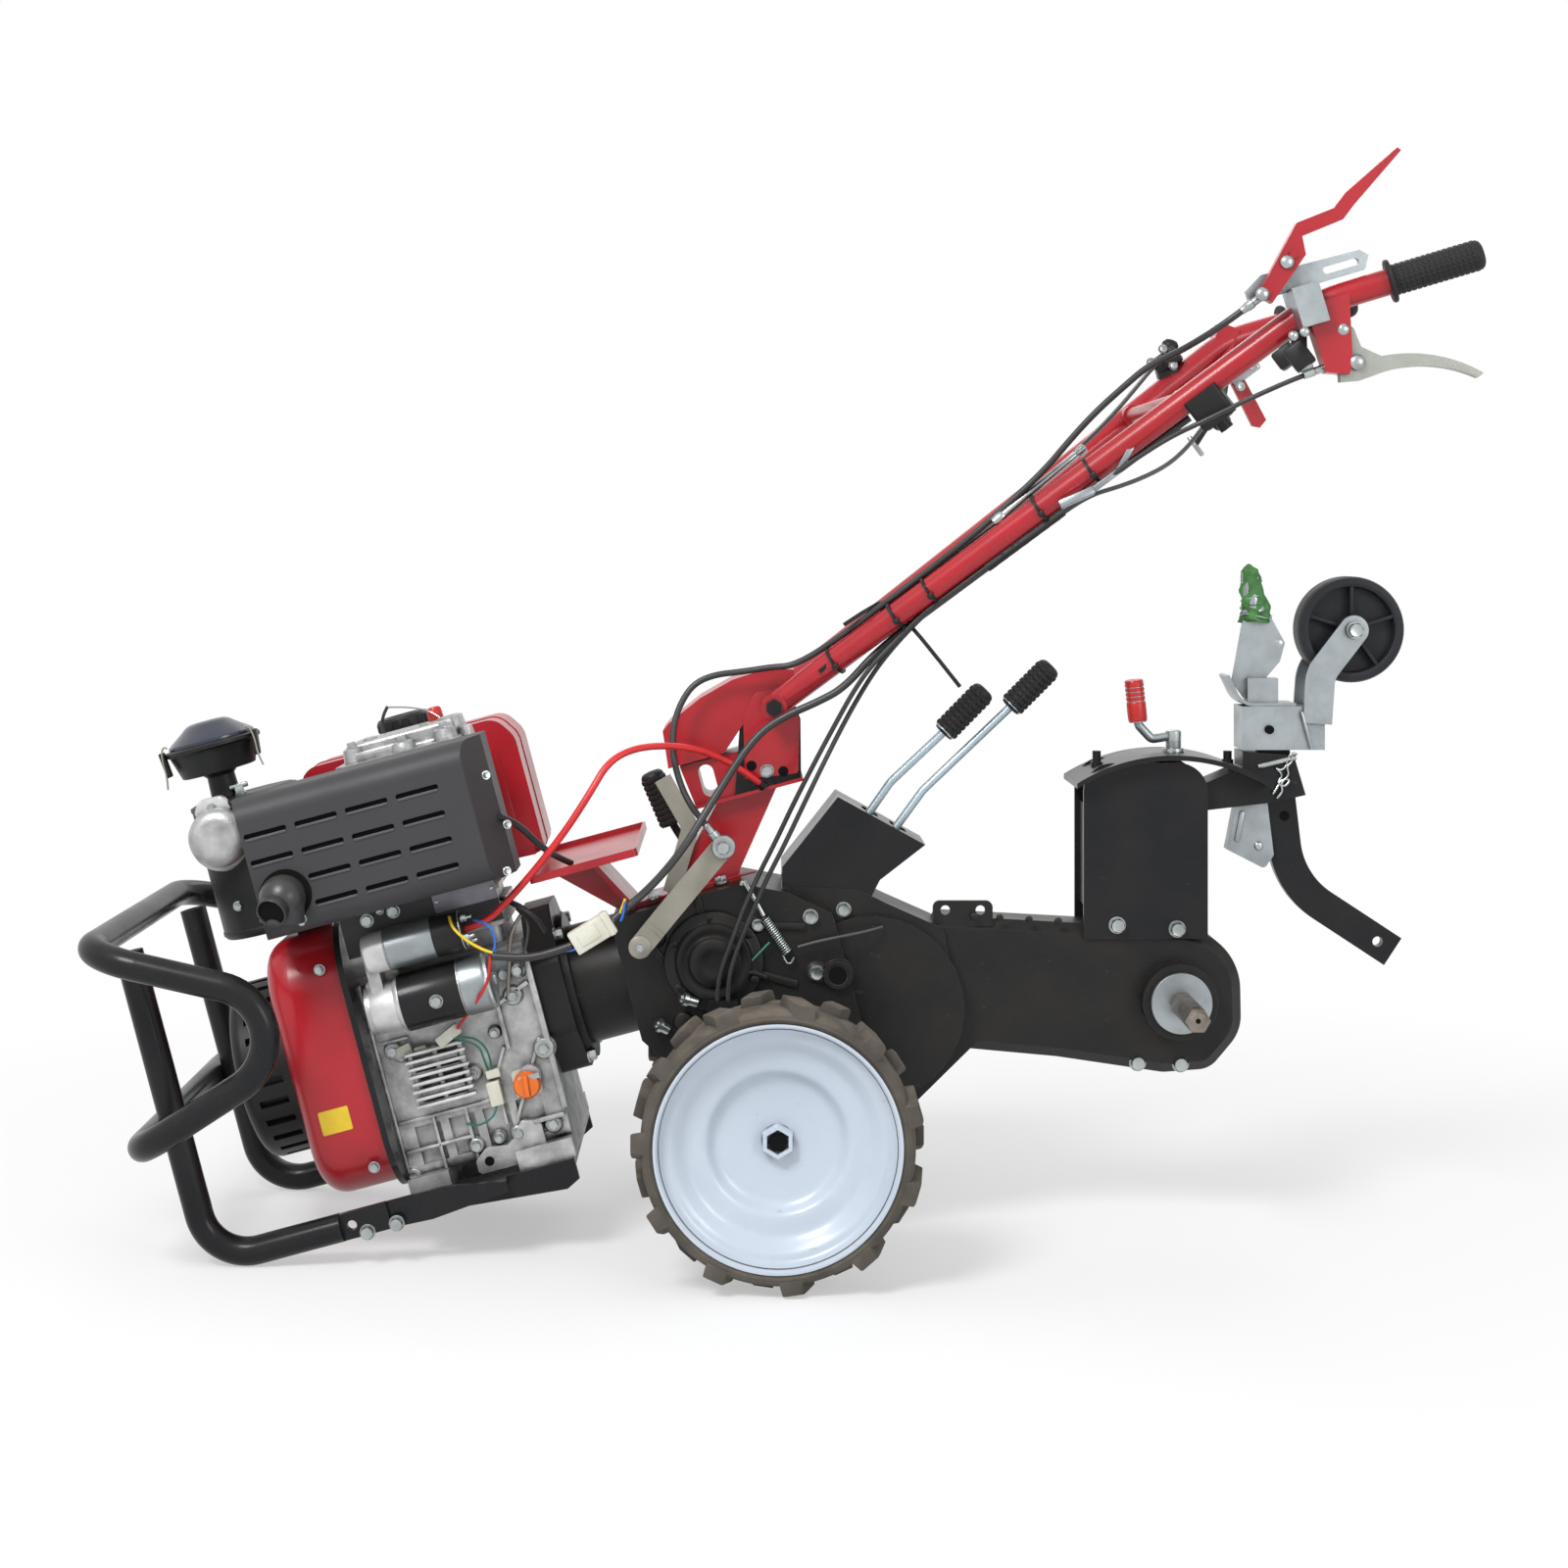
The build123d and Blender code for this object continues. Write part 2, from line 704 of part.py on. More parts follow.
with BuildPart() as pre_cleaner:
    with BuildSketch(deck(canister_top, bowl_forward, canister_offset)):
        Circle(16)
    extrude(amount=32)
    stem_top = deck(canister_top + 32, bowl_forward, canister_offset)
    with BuildSketch(stem_top):
        Circle(bowl_radius - 9)
    with BuildSketch(stem_top.offset(30)):
        Circle(bowl_radius)
    loft()
    with BuildSketch(stem_top.offset(30)):
        Circle(bowl_radius + 4)
    extrude(amount=6)
    with BuildSketch(stem_top.offset(36)):
        Circle(bowl_radius - 2)
    with BuildSketch(stem_top.offset(58)):
        Circle(20)
    loft()
save(pre_cleaner.part, "pre_cleaner")

with BuildPart() as starter:
    with BuildSketch(section(-372, starter_offset, starter_level)):
        Circle(starter_radius)
    extrude(amount=104)
    with BuildSketch(section(-410, starter_offset, starter_level)):
        Circle(starter_radius - 5)
    extrude(amount=38)
    with BuildSketch(section(-400, starter_offset, starter_level)):
        with Locations((0, 31)):
            Rectangle(34, 54)
    extrude(amount=14)
    with BuildSketch(side(starter_offset + 10)):
        with Locations((-330, starter_level)):
            Rectangle(60, 40)
    extrude(amount=starter_offset + 10 + block_half_width)
save(starter.part, "starter_motor")

with BuildPart() as solenoid:
    with BuildSketch(section(-386, starter_offset - 12, solenoid_level + 4)):
        Circle(solenoid_radius)
    extrude(amount=102)
    add(starter.part, mode=Mode.SUBTRACT)
save(solenoid.part, "starter_solenoid")

with BuildPart() as adapter:
    with BuildSketch(section(block_rear, 0, crank_height + 8)) as ring:
        RegularPolygon(adapter_radius, 8, rotation=22.5)
        fillet(ring.vertices(), radius=18)
    extrude(amount=adapter_depth)
    with BuildSketch(section(block_rear + adapter_depth, 0, crank_height)):
        Circle(bell_radius)
    extrude(amount=bell_rear - block_rear - adapter_depth)
    with BuildSketch(section(block_rear + adapter_depth, 0, crank_height)):
        Circle(bell_radius + 16)
    extrude(amount=8)
save(adapter.part, "bell_housing")

# ================================================================ front guard
run_rear = guard_run_rear
arc_forward = guard_leg_forward + guard_bend
arc_lift = guard_tube_radius + guard_bend - axle_height - arc_forward * sin_tilt
run_level = arc_lift / cos_tilt - guard_bend
guard_plan = [
    (-676, -loop_half_width, 392),
    (-412, -loop_half_width, 252),
    (-680, -loop_half_width, 165),
    (-680, loop_half_width, 165),
    (-412, loop_half_width, 252),
    (-676, loop_half_width, 392),
]
with BuildPart() as guard_loop:
    with BuildLine() as loop_route:
        FilletPolyline(*[at(*place) for place in guard_plan], radius=loop_bend, close=True)
    with BuildSketch(Plane(origin=loop_route.line @ 0, z_dir=loop_route.line % 0)):
        Circle(guard_tube_radius)
    sweep()
save(guard_loop.part, "guard_loop")

for side_name, s in (("left", -1), ("right", 1)):
    y = s * guard_leg_offset
    tube = line_bar(
        [
            at(guard_leg_forward, y, guard_leg_top),
            at(guard_leg_forward, y, run_level),
            at(run_rear, y, run_level),
        ],
        guard_bend,
        guard_tube_radius,
    )
    with BuildPart() as guard_leg:
        add(tube)
        with BuildSketch(side(y + bracket_thickness / 2)):
            with Locations((run_rear + 24, run_level)):
                Rectangle(60, bracket_height)
            with Locations((run_rear + 12, run_level)):
                Circle(guard_hole_radius, mode=Mode.SUBTRACT)
        extrude(amount=bracket_thickness)
        add(guard_loop.part, mode=Mode.SUBTRACT)
    save(guard_leg.part, f"guard_leg_{side_name}")


# ================================================================ column
with BuildPart() as column:
    with BuildSketch(side(40)):
        with BuildLine():
            Polyline((-100, gear_top), (28, gear_top), (28, gear_top + 6), (-100, gear_top + 6), close=True)
        make_face()
    extrude(amount=80)
    with BuildSketch(side(30)):
        with BuildLine():
            Polyline((-66, gear_top), (20, gear_top), (96, shelf_level), (24, shelf_level), close=True)
        make_face()
    extrude(amount=60)
    with BuildSketch(side(48)):
        with Locations((63, shelf_level + 2)):
            Rectangle(130, 4)
    extrude(amount=96)
save(column.part, "handlebar_column")

swivel_top = 402
with BuildPart() as swivel:
    with BuildSketch(side(column_half_width - 4)):
        with BuildLine():
            Polyline((-2, shelf_level + 4), (126, shelf_level + 4), (132, swivel_top), (-8, swivel_top), close=True)
        make_face()
        with Locations((20, 378)):
            SlotOverall(38, 18, rotation=90, mode=Mode.SUBTRACT)
    extrude(amount=2 * column_half_width - 8)
save(swivel.part, "swivel_bracket")

pivot_local = (
    pivot_x * cos_tilt + (pivot_z - axle_height) * sin_tilt,
    (pivot_z - axle_height) * cos_tilt - pivot_x * sin_tilt,
)
pivot_plane = Plane(origin=(pivot_x, 0, pivot_z), z_dir=(0, -1, 0))
eye_length = 2 * bar_radius + 6
eye_reach = bar_foot_offset - bar_radius + eye_length
lead_end = Vector(-19, -51, 529)
lead_aim = Vector(0.70, 0.445, -0.554)
with BuildPart() as yoke:
    for near in (column_half_width, 4 - column_half_width):
        with BuildSketch(side(near)):
            with BuildLine():
                Polyline((46, 354), (126, 354), (143, 420), (137, 462), (98, 466), (76, 440), close=True)
            make_face()
        extrude(amount=4)
    with BuildSketch(pivot_plane.offset(-eye_reach - 1)):
        Circle(pivot_pin_radius)
    extrude(amount=2 * (eye_reach + 1))
    for face in (eye_reach + 0.4, -eye_reach - 7.4):
        with BuildSketch(pivot_plane.offset(face)):
            RegularPolygon(10, 6)
        extrude(amount=7)
    with BuildSketch(side(-column_half_width)):
        with Locations((81, 363)):
            Rectangle(22, 18)
    extrude(amount=4)
    add(line_bar([lead_end + lead_aim * cable_gap, lead_end + lead_aim * 8], None, lead_radius + 2))
    add(column.part, mode=Mode.SUBTRACT)
    add(swivel.part, mode=Mode.SUBTRACT)
save(yoke.part, "handlebar_yoke")

cover_reach = column_half_width + 4
with BuildPart() as cover:
    with BuildSketch(side(cover_reach)):
        with BuildLine():
            Polyline(
                (-21, 404), (-16, 448), (-7, 455), (36, 474), (78, 485), (121, 487),
                (150, 478), (146, 446), (84, 438), (47, 405), close=True,
            )
        make_face()
    extrude(amount=2 * cover_reach)
    with BuildSketch(side(cover_reach - sheet)):
        with BuildLine():
            Polyline(
                (-17, 380), (-13, 446), (-5, 452), (37, 471), (78, 482), (120, 484),
                (156, 472), (170, 440), (170, 380), close=True,
            )
        make_face()
    extrude(amount=2 * (cover_reach - sheet), mode=Mode.SUBTRACT)
    with BuildSketch(side(cover_reach)):
        with Locations(pivot_local):
            Circle(pivot_pin_radius)
    extrude(amount=2 * cover_reach, mode=Mode.SUBTRACT)
save(cover.part, "control_cover")

with BuildPart() as tray:
    with BuildSketch(deck(325, -138, 2)):
        RectangleRounded(126, 274, 6)
    extrude(amount=3)
    with BuildSketch(deck(328, -138, 2)):
        RectangleRounded(126, 274, 6)
        RectangleRounded(120, 268, 4, mode=Mode.SUBTRACT)
    extrude(amount=6)
    with BuildSketch(side(50)):
        with BuildLine():
            Polyline((-140, 325), (-134, 325), (-100, 262), (-100, 256), (-104, 256), close=True)
        make_face()
    extrude(amount=100)
    for near in (30, -26):
        with BuildSketch(side(near)):
            with BuildLine():
                Polyline((-190, 325), (-134, 325), (-100, 262), (-100, 256), (-118, 256), close=True)
            make_face()
        extrude(amount=4)
    add(column.part, mode=Mode.SUBTRACT)
save(tray.part, "battery_tray")

with BuildPart() as lock_strip:
    with BuildSketch(side(-32)):
        with BuildLine():
            FilletPolyline((-31, 394), (-14, 330), (-56, gear_top + 6), radius=20)
        trace(line_width=20)
    extrude(amount=5)
    add(column.part, mode=Mode.SUBTRACT)
save(lock_strip.part, "lock_strip")

lever_rod = line_bar([at(-25, 50, gear_top), at(-30, 50, 305), at(-39, 50, 335)], None, 5)
with BuildPart() as gear_lever:
    add(lever_rod)
    tip = Plane(origin=at(-38, 50, 331), z_dir=at(-47, 50, 394) - at(-38, 50, 331))
    with BuildSketch(tip):
        Circle(14)
    extrude(amount=68)
    fillet(gear_lever.edges().filter_by(GeomType.CIRCLE).sort_by(Axis.Z)[-1], radius=6)
    add(gearbox.part, mode=Mode.SUBTRACT)
save(gear_lever.part, "gear_lever")

clevis = at(20, -106, 307)
clevis_lift = Vector(-19, 0, 23)
with BuildPart() as clutch_arm:
    with BuildSketch(side(-99)):
        with BuildLine():
            Polyline((-102, 220), (-66, 246), (20, 307))
        trace(line_width=26)
        with Locations((-102, 220)):
            Circle(13)
    extrude(amount=6)
    with BuildSketch(side(-gear_half_width)):
        with Locations((-102, 220)):
            Circle(10)
    extrude(amount=26)
    with BuildSketch(side(-97)):
        with Locations((20, 307)):
            Circle(12)
    extrude(amount=18)
    add(line_bar([clevis, clevis + clevis_lift], None, 3))
save(clutch_arm.part, "clutch_arm")

with BuildPart() as clutch_spring:
    with BuildSketch(Plane(origin=at(34, -gear_half_width - 6.5, 240), z_dir=level_x * 22 - level_z * 72)):
        Circle(6)
    extrude(amount=58)
    with BuildSketch(Plane(origin=at(30, -gear_half_width - 6.5, 253), z_dir=level_x * 22 - level_z * 72)):
        Circle(2.5)
    extrude(amount=84)
save(clutch_spring.part, "clutch_spring")

# ================================================================ gear shift
with BuildPart() as shift_box:
    with BuildSketch(upright(46)):
        with BuildLine():
            Polyline((73, 512), (175, 456), (122, 415), (100, 372), (20, 372), (8, 406), (8, 430), close=True)
        make_face()
    extrude(amount=92)
    with BuildSketch(upright(41)):
        with BuildLine():
            Polyline((74, 506), (166, 455), (118, 418), (100, 372), (24, 372), (13, 408), (13, 430), close=True)
        make_face()
    extrude(amount=82, mode=Mode.SUBTRACT)
    for x, z in ((112, 489), (145, 471)):
        with BuildSketch(Plane(origin=(x + 6, 0, z + 12), x_dir=(0, 1, 0), z_dir=(0.48, 0, 0.877))):
            SlotOverall(44, 22)
        extrude(amount=-30, mode=Mode.SUBTRACT)
    add(gearbox.part, mode=Mode.SUBTRACT)
save(shift_box.part, "shift_box")

shift_levers = [
    ("front", (46, 395), (137, 525), (201, 585), (250, 635)),
    ("rear", (84, 390), (175, 515), (280, 615), (328, 663)),
]
for lever_name, foot_point, bend_point, collar, knob_end in shift_levers:
    places = [(x, 0, z) for x, z in (foot_point, bend_point, collar)]
    rod = line_bar(places, 40, 5)
    axis = Vector(knob_end[0] - collar[0], 0, knob_end[1] - collar[1])
    with BuildPart() as shift_lever:
        add(rod)
        with BuildSketch(Plane(origin=(collar[0], 0, collar[1]), z_dir=axis)):
            Circle(14)
        extrude(amount=axis.length)
        fillet(shift_lever.edges().filter_by(GeomType.CIRCLE).sort_by(Axis.Z)[-1], radius=9)
        add(gearbox.part, mode=Mode.SUBTRACT)
        save(shift_lever.part, f"shift_lever_{lever_name}")

# ================================================================ rear brackets
with BuildPart() as drag_bar:
    with BuildSketch(upright(bar_half_thickness)):
        with BuildLine():
            FilletPolyline((584, 608), (608, 405), (730, 325), radius=100)
        trace(line_width=bar_width)
        with Locations((712, 337)):
            Circle(bar_hole_radius, mode=Mode.SUBTRACT)
    extrude(amount=2 * bar_half_thickness)
save(drag_bar.part, "drag_bar")

with BuildPart() as hood:
    with BuildSketch(upright(arch_half_width)):
        with BuildLine():
            ThreePointArc((350, 529), (447, 561), (577, 528))
            Line((577, 528), (577, 528 - arch_thickness))
            ThreePointArc((577, 528 - arch_thickness), (447, 561 - arch_thickness), (350, 529 - arch_thickness))
            Line((350, 529 - arch_thickness), (350, 529))
        make_face()
    extrude(amount=2 * arch_half_width)
    for stud_x, seat_top in hood_studs:
        with BuildSketch(Plane.XY.offset(seat_top - seat_depth)):
            with Locations((stud_x, 0)):
                Circle(seat_radius)
        extrude(amount=seat_depth)
        with BuildSketch(Plane.XY.offset(seat_top)):
            with Locations((stud_x, 0)):
                Circle(stud_radius)
        extrude(amount=stud_top - seat_top)
    for near in (hood_gap_half + plate_thickness, -hood_gap_half):
        with BuildSketch(upright(near)) as plate:
            with BuildLine():
                Polyline(
                    (hood_front, hood_bottom),
                    (hood_rear, hood_bottom),
                    (hood_rear, 551),
                    (hood_front, 551),
                    close=True,
                )
            make_face()
            fillet(plate.vertices().group_by(Axis.Y)[-1], radius=34)
        extrude(amount=plate_thickness)
    with BuildSketch(upright(hood_gap_half)):
        with Locations((hood_front + 8, 440)):
            Rectangle(5, 120)
        with Locations((hood_rear - 8, 440)):
            Rectangle(5, 120)
    extrude(amount=2 * hood_gap_half)
    add(chain_case.part, mode=Mode.SUBTRACT)
    add(drag_bar.part, mode=Mode.SUBTRACT)
save(hood.part, "hood_bracket")

crank_rod = line_bar([(472, 0, 556), (472, 0, 580), (446, 0, 576), (431, 0, 592), (429, 0, 604)], 7, 5.5)
with BuildPart() as crank:
    add(crank_rod)
    with BuildSketch(Plane.XY.offset(566)):
        with Locations((472, 0)):
            Circle(9)
    extrude(amount=18)
    with BuildSketch(Plane(origin=(430, 0, 596), z_dir=(-0.1, 0, 1))):
        Circle(10.5)
    extrude(amount=50)
    fillet(crank.edges().filter_by(GeomType.CIRCLE).sort_by(Axis.Z)[-1], radius=4)
    add(hood.part, mode=Mode.SUBTRACT)
save(crank.part, "depth_crank")

with BuildPart() as socket:
    with BuildSketch(upright(socket_half_width)):
        with BuildLine():
            Polyline((hood_rear, 494), (hood_rear, 526), (549, 545), (549, 563), (609, 559), (623, 512), (583, 503), close=True)
        make_face()
    extrude(amount=2 * socket_half_width)
    add(drag_bar.part, mode=Mode.SUBTRACT)
    add(hood.part, mode=Mode.SUBTRACT)
save(socket.part, "drag_bar_socket")

with BuildPart() as channel:
    with BuildSketch(upright(14)) as channel_side:
        with BuildLine():
            Polyline((546, 506), (534, 446), (577, 424), (588, 440), (580, 506), close=True)
        make_face()
        fillet(channel_side.vertices().group_by(Axis.Y)[:2], radius=5)
    extrude(amount=28)
    with BuildSketch(upright(10)):
        with BuildLine():
            Polyline((553, 520), (541, 452), (574, 434), (600, 440), (600, 520), close=True)
        make_face()
    extrude(amount=20, mode=Mode.SUBTRACT)
    add(drag_bar.part, mode=Mode.SUBTRACT)
    add(socket.part, mode=Mode.SUBTRACT)
save(channel.part, "pin_channel")

with BuildPart() as tail_block:
    with BuildSketch(upright(fork_gap_half)):
        with Locations((597, 590.5)):
            Rectangle(97, 51)
    extrude(amount=2 * fork_gap_half)
    with BuildSketch(upright(-bar_half_thickness)):
        with Locations((580, 589)):
            Circle(5)
    extrude(amount=fork_gap_half, mode=Mode.SUBTRACT)
    add(drag_bar.part, mode=Mode.SUBTRACT)
    for near in (fork_gap_half + fork_plate, -fork_gap_half):
        with BuildSketch(upright(near)):
            with BuildLine():
                FilletPolyline((636, 596), (640, 655), (tail_x, tail_z), radius=40)
            trace(line_width=34)
            with Locations((tail_x, tail_z)):
                Circle(17)
        extrude(amount=fork_plate)
    with BuildSketch(Plane(origin=(tail_x, fork_gap_half + fork_plate + 5, tail_z), z_dir=(0, -1, 0))):
        Circle(tail_axle_radius)
    extrude(amount=2 * (fork_gap_half + fork_plate + 5))
    with BuildSketch(upright(24)):
        with BuildLine():
            FilletPolyline((532, 652), (548, 618), (612, 618), radius=24)
        trace(line_width=4)
    extrude(amount=48)
save(tail_block.part, "tail_wheel_bracket")

with BuildPart() as tail_wheel:
    with BuildSketch(Plane(origin=(tail_x, tail_half_width, tail_z), z_dir=(0, -1, 0))):
        Circle(tail_radius)
    extrude(amount=2 * tail_half_width)
    fillet(tail_wheel.edges().filter_by(GeomType.CIRCLE), radius=6)
    for s in (-1, 1):
        recess = Plane(origin=(tail_x, s * tail_half_width, tail_z), z_dir=(0, -s, 0))
        with BuildSketch(recess):
            Circle(tail_radius - 10)
            Circle(18, mode=Mode.SUBTRACT)
            with PolarLocations(34, 5):
                Rectangle(36, 5, mode=Mode.SUBTRACT)
        extrude(amount=12, mode=Mode.SUBTRACT)
    with BuildSketch(Plane(origin=(tail_x, tail_half_width, tail_z), z_dir=(0, -1, 0))):
        Circle(tail_axle_radius + tail_bore_clearance)
    extrude(amount=2 * tail_half_width, mode=Mode.SUBTRACT)
save(tail_wheel.part, "tail_wheel")

with BuildPart() as latch:
    with BuildSketch(upright(-6)) as latch_side:
        with BuildLine():
            Polyline((539, 645), (556, 738), (574, 742), (602, 690), (596, 668), (572, 640), (566, 621), (553, 625), close=True)
        make_face()
        fillet(latch_side.vertices().group_by(Axis.Y)[-1], radius=4)
    extrude(amount=4)
    with BuildSketch(upright(4)):
        with Locations((574, 634)):
            Rectangle(36, 30)
    extrude(amount=24)
    with BuildSketch(Plane(origin=(566, -8, 727), z_dir=(-0.12, 0, 1))):
        Ellipse(15, 12)
    with BuildSketch(Plane(origin=(560, -8, 777), z_dir=(-0.12, 0, 1))):
        Ellipse(9, 7)
    loft()
    add(tail_block.part, mode=Mode.SUBTRACT)
save(latch.part, "latch_pedal")

# ================================================================ handlebar
knee_rise = math.tan(math.radians(handle_rise))
grip_slope = math.tan(math.radians(grip_rise))
knee_level = pivot_z + (knee_x - pivot_x) * knee_rise
handle_tubes = {}
for side_name, s in (("left", -1), ("right", 1)):
    route = [
        (pivot_x, s * bar_foot_offset, pivot_z),
        (knee_x, s * knee_offset, knee_level),
        (knee_x + grip_reach, s * grip_offset, knee_level + grip_reach * grip_slope),
    ]
    bar = line_bar(route, 150, bar_radius)
    eye_plane = Plane(origin=(pivot_x, s * (bar_foot_offset - bar_radius), pivot_z), z_dir=(0, s, 0))
    with BuildPart() as handle_tube:
        add(bar)
        with BuildSketch(eye_plane):
            Circle(pivot_eye_radius)
        extrude(amount=eye_length)
        with BuildSketch(eye_plane.offset(-20)):
            Circle(pivot_pin_radius + pivot_clearance)
        extrude(amount=2 * bar_radius + 60, mode=Mode.SUBTRACT)
    handle_tubes[side_name] = handle_tube.part
    save(handle_tube.part, f"handle_tube_{side_name}")

    grip_axis = Vector(*route[2]) - Vector(*route[1])
    grip_axis = grip_axis / grip_axis.length
    grip_foot = Vector(*route[2]) - grip_axis * 80
    with BuildPart() as grip:
        with BuildSketch(Plane(origin=grip_foot, z_dir=grip_axis)):
            Circle(grip_radius)
        extrude(amount=grip_length - 14)
        with BuildSketch(Plane(origin=grip_foot, z_dir=grip_axis)):
            Circle(grip_radius + 7)
        extrude(amount=6)
        add(handle_tube.part, mode=Mode.SUBTRACT)
    save(grip.part, f"grip_{side_name}")

brace_x = 452.0
brace_share = (brace_x - pivot_x) / (knee_x - pivot_x)
brace_y = bar_foot_offset + brace_share * (knee_offset - bar_foot_offset)
brace_z = pivot_z + (brace_x - pivot_x) * knee_rise
brace_bar = line_bar([(brace_x, -brace_y, brace_z), (brace_x, brace_y, brace_z)], None, 10)
with BuildPart() as brace:
    add(brace_bar)
    for s in (-1, 1):
        foot = Plane(origin=(brace_x, s * brace_y, brace_z), z_dir=(0, s, 0))
        with BuildSketch(foot.offset(-40)):
            Circle(13)
        extrude(amount=40)
    add(handle_tubes["left"], mode=Mode.SUBTRACT)
    add(handle_tubes["right"], mode=Mode.SUBTRACT)
save(brace.part.solids().sort_by(SortBy.VOLUME)[-1], "handlebar_brace")

# ================================================================ hand controls


def along_grip(distance, sink, across, s):
    """A place on one grip's line: a distance behind the knee, sunk below it and across from it."""
    rise = math.radians(grip_rise)
    x = knee_x + distance * math.cos(rise) + sink * math.sin(rise)
    z = knee_level + distance * math.sin(rise) - sink * math.cos(rise)
    y = s * (knee_offset + distance / grip_reach * (grip_offset - knee_offset)) + across
    return Vector(x, y, z)


def grip_side(across):
    """Side-view plane along the left grip: x runs to the rear along it, y runs up from it."""
    rise = math.radians(grip_rise)
    origin = along_grip(0, 0, 0, -1)
    return Plane(
        origin=(origin.X, across, origin.Z),
        x_dir=(math.cos(rise), 0, math.sin(rise)),
        z_dir=(0, -1, 0),
    )


def hand(across):
    """Upright side-view plane with its origin at the handles' knee. It is extruded towards the left side."""
    return Plane(origin=(knee_x, across, knee_level), x_dir=(1, 0, 0), z_dir=(0, -1, 0))


left_control = -knee_offset - control_gap
right_control = knee_offset + control_gap
with BuildPart() as lever_clamp:
    with BuildSketch(grip_side(left_control + 24)):
        with Locations((-14, 0)):
            Rectangle(30, 44)
    extrude(amount=50)
    with BuildSketch(grip_side(left_control + 4)) as pivot_plate:
        with BuildLine():
            Polyline((-72, 20), (-72, 34), (-52, 46), (58, 42), (66, 34), (58, 20), close=True)
        make_face()
        with Locations((34, 31)):
            SlotOverall(40, 8, mode=Mode.SUBTRACT)
    extrude(amount=8)
    add(handle_tubes["left"], mode=Mode.SUBTRACT)
save(lever_clamp.part, "lever_clamp")

lever_pin = Vector(knee_x - 59, left_control - 11, knee_level + 9)
barrel = Vector(-24, 5, -18)
with BuildPart() as clutch_lever:
    with BuildSketch(hand(left_control - 4.3)) as lever_side:
        with BuildLine():
            Polyline(
                (-68, 7), (-53, -2), (-17, 50), (-21, 70), (23, 88), (35, 104), (85, 162),
                (81, 165), (25, 116), (13, 100), (-27, 84), close=True,
            )
        make_face()
    extrude(amount=14)
    with BuildSketch(hand(left_control - 4.3)):
        with Locations((-59, 10), (-31, 50)):
            Circle(4)
    extrude(amount=17)
    add(line_bar([lever_pin, lever_pin + barrel], None, 3))
save(clutch_lever.part, "clutch_lever")

with BuildPart() as lever_bracket:
    with BuildSketch(hand(left_control + 12)):
        with BuildLine():
            Polyline((-13, -4), (31, 10), (35, -68), (31, -78), (7, -76), (-9, -28), close=True)
        make_face()
    extrude(amount=24)
    with BuildSketch(hand(left_control + 9)):
        with BuildLine():
            Polyline((17, -8), (57, -8), (57, -88), (21, -88), close=True)
        make_face()
    extrude(amount=18, mode=Mode.SUBTRACT)
    add(handle_tubes["left"], mode=Mode.SUBTRACT)
    add(lever_clamp.part, mode=Mode.SUBTRACT)
save(lever_bracket.part, "steering_lever_bracket")

with BuildPart() as steering_lever:
    with BuildSketch(hand(left_control + 7)) as lever_side:
        with BuildLine():
            Polyline((18, -28), (29, -22), (37, -28), (45, -48), (67, -58))
            ThreePointArc((67, -58), (129, -58), (177, -76))
            Line((177, -76), (171, -81))
            ThreePointArc((171, -81), (123, -69), (67, -76))
            Polyline((67, -76), (45, -84), (23, -86), (18, -28))
        make_face()
    extrude(amount=14)
save(steering_lever.part, "steering_lever")

switch_share = 0.794
tube_run = Vector(knee_x - pivot_x, bar_foot_offset - knee_offset, (knee_x - pivot_x) * knee_rise)
tube_foot = Vector(pivot_x, -bar_foot_offset, pivot_z)
switch_plane = Plane(origin=tube_foot + tube_run * switch_share, x_dir=tube_run, z_dir=(-knee_rise, 0, 1))
with BuildPart() as switch_box:
    with BuildSketch(switch_plane.offset(-2)):
        RectangleRounded(42, 38, 5)
    extrude(amount=-38)
    with BuildSketch(switch_plane.offset(-40)):
        Circle(8)
    extrude(amount=-12)
    add(handle_tubes["left"], mode=Mode.SUBTRACT)
    add(brace.part, mode=Mode.SUBTRACT)
save(switch_box.part, "switch_box")

with BuildPart() as throttle_lever:
    with BuildSketch(hand(right_control + 4)):
        with BuildLine():
            Polyline((-11, -18), (5, -12), (53, -102), (45, -112), (35, -110), close=True)
        make_face()
    extrude(amount=8)
    with BuildSketch(hand(right_control + 22)):
        with Locations((-5, -6)):
            Rectangle(26, 50, rotation=-20)
    extrude(amount=44)
    add(handle_tubes["right"], mode=Mode.SUBTRACT)
save(throttle_lever.part, "throttle_lever")

# ================================================================ cables
bar_run = Vector(tube_run.X, tube_run.Y, tube_run.Z).normalized()
bar_top = (Vector(0, 0, 1) - bar_run * bar_run.Z).normalized()
bar_near = bar_run.cross(bar_top)


def beside_bar(share, turn, away):
    """A place beside the left handle tube: a share of its length, a turn from its top, away from its middle."""
    lift = bar_top * math.cos(math.radians(turn)) + bar_near * math.sin(math.radians(turn))
    return tube_foot + tube_run * share + lift * away


solenoid_face = at(-386 + 102, starter_offset - 12, solenoid_level + 4)
battery_lead = [
    tuple(solenoid_face + level_x * cable_gap),
    tuple(solenoid_face + level_x * 26),
    (-296, -169, 413),
    (-267, -176, 447),
    (-235, -179, 488),
    (-208, -173, 530),
    (-189, -160, 563),
    (-160, -140, 577),
    (-123, -116, 578),
    (-87, -93, 571),
    (-54, -73, 555),
    tuple(lead_end - lead_aim * 22),
    tuple(lead_end),
]
save(cable(battery_lead, lead_radius), "battery_lead")

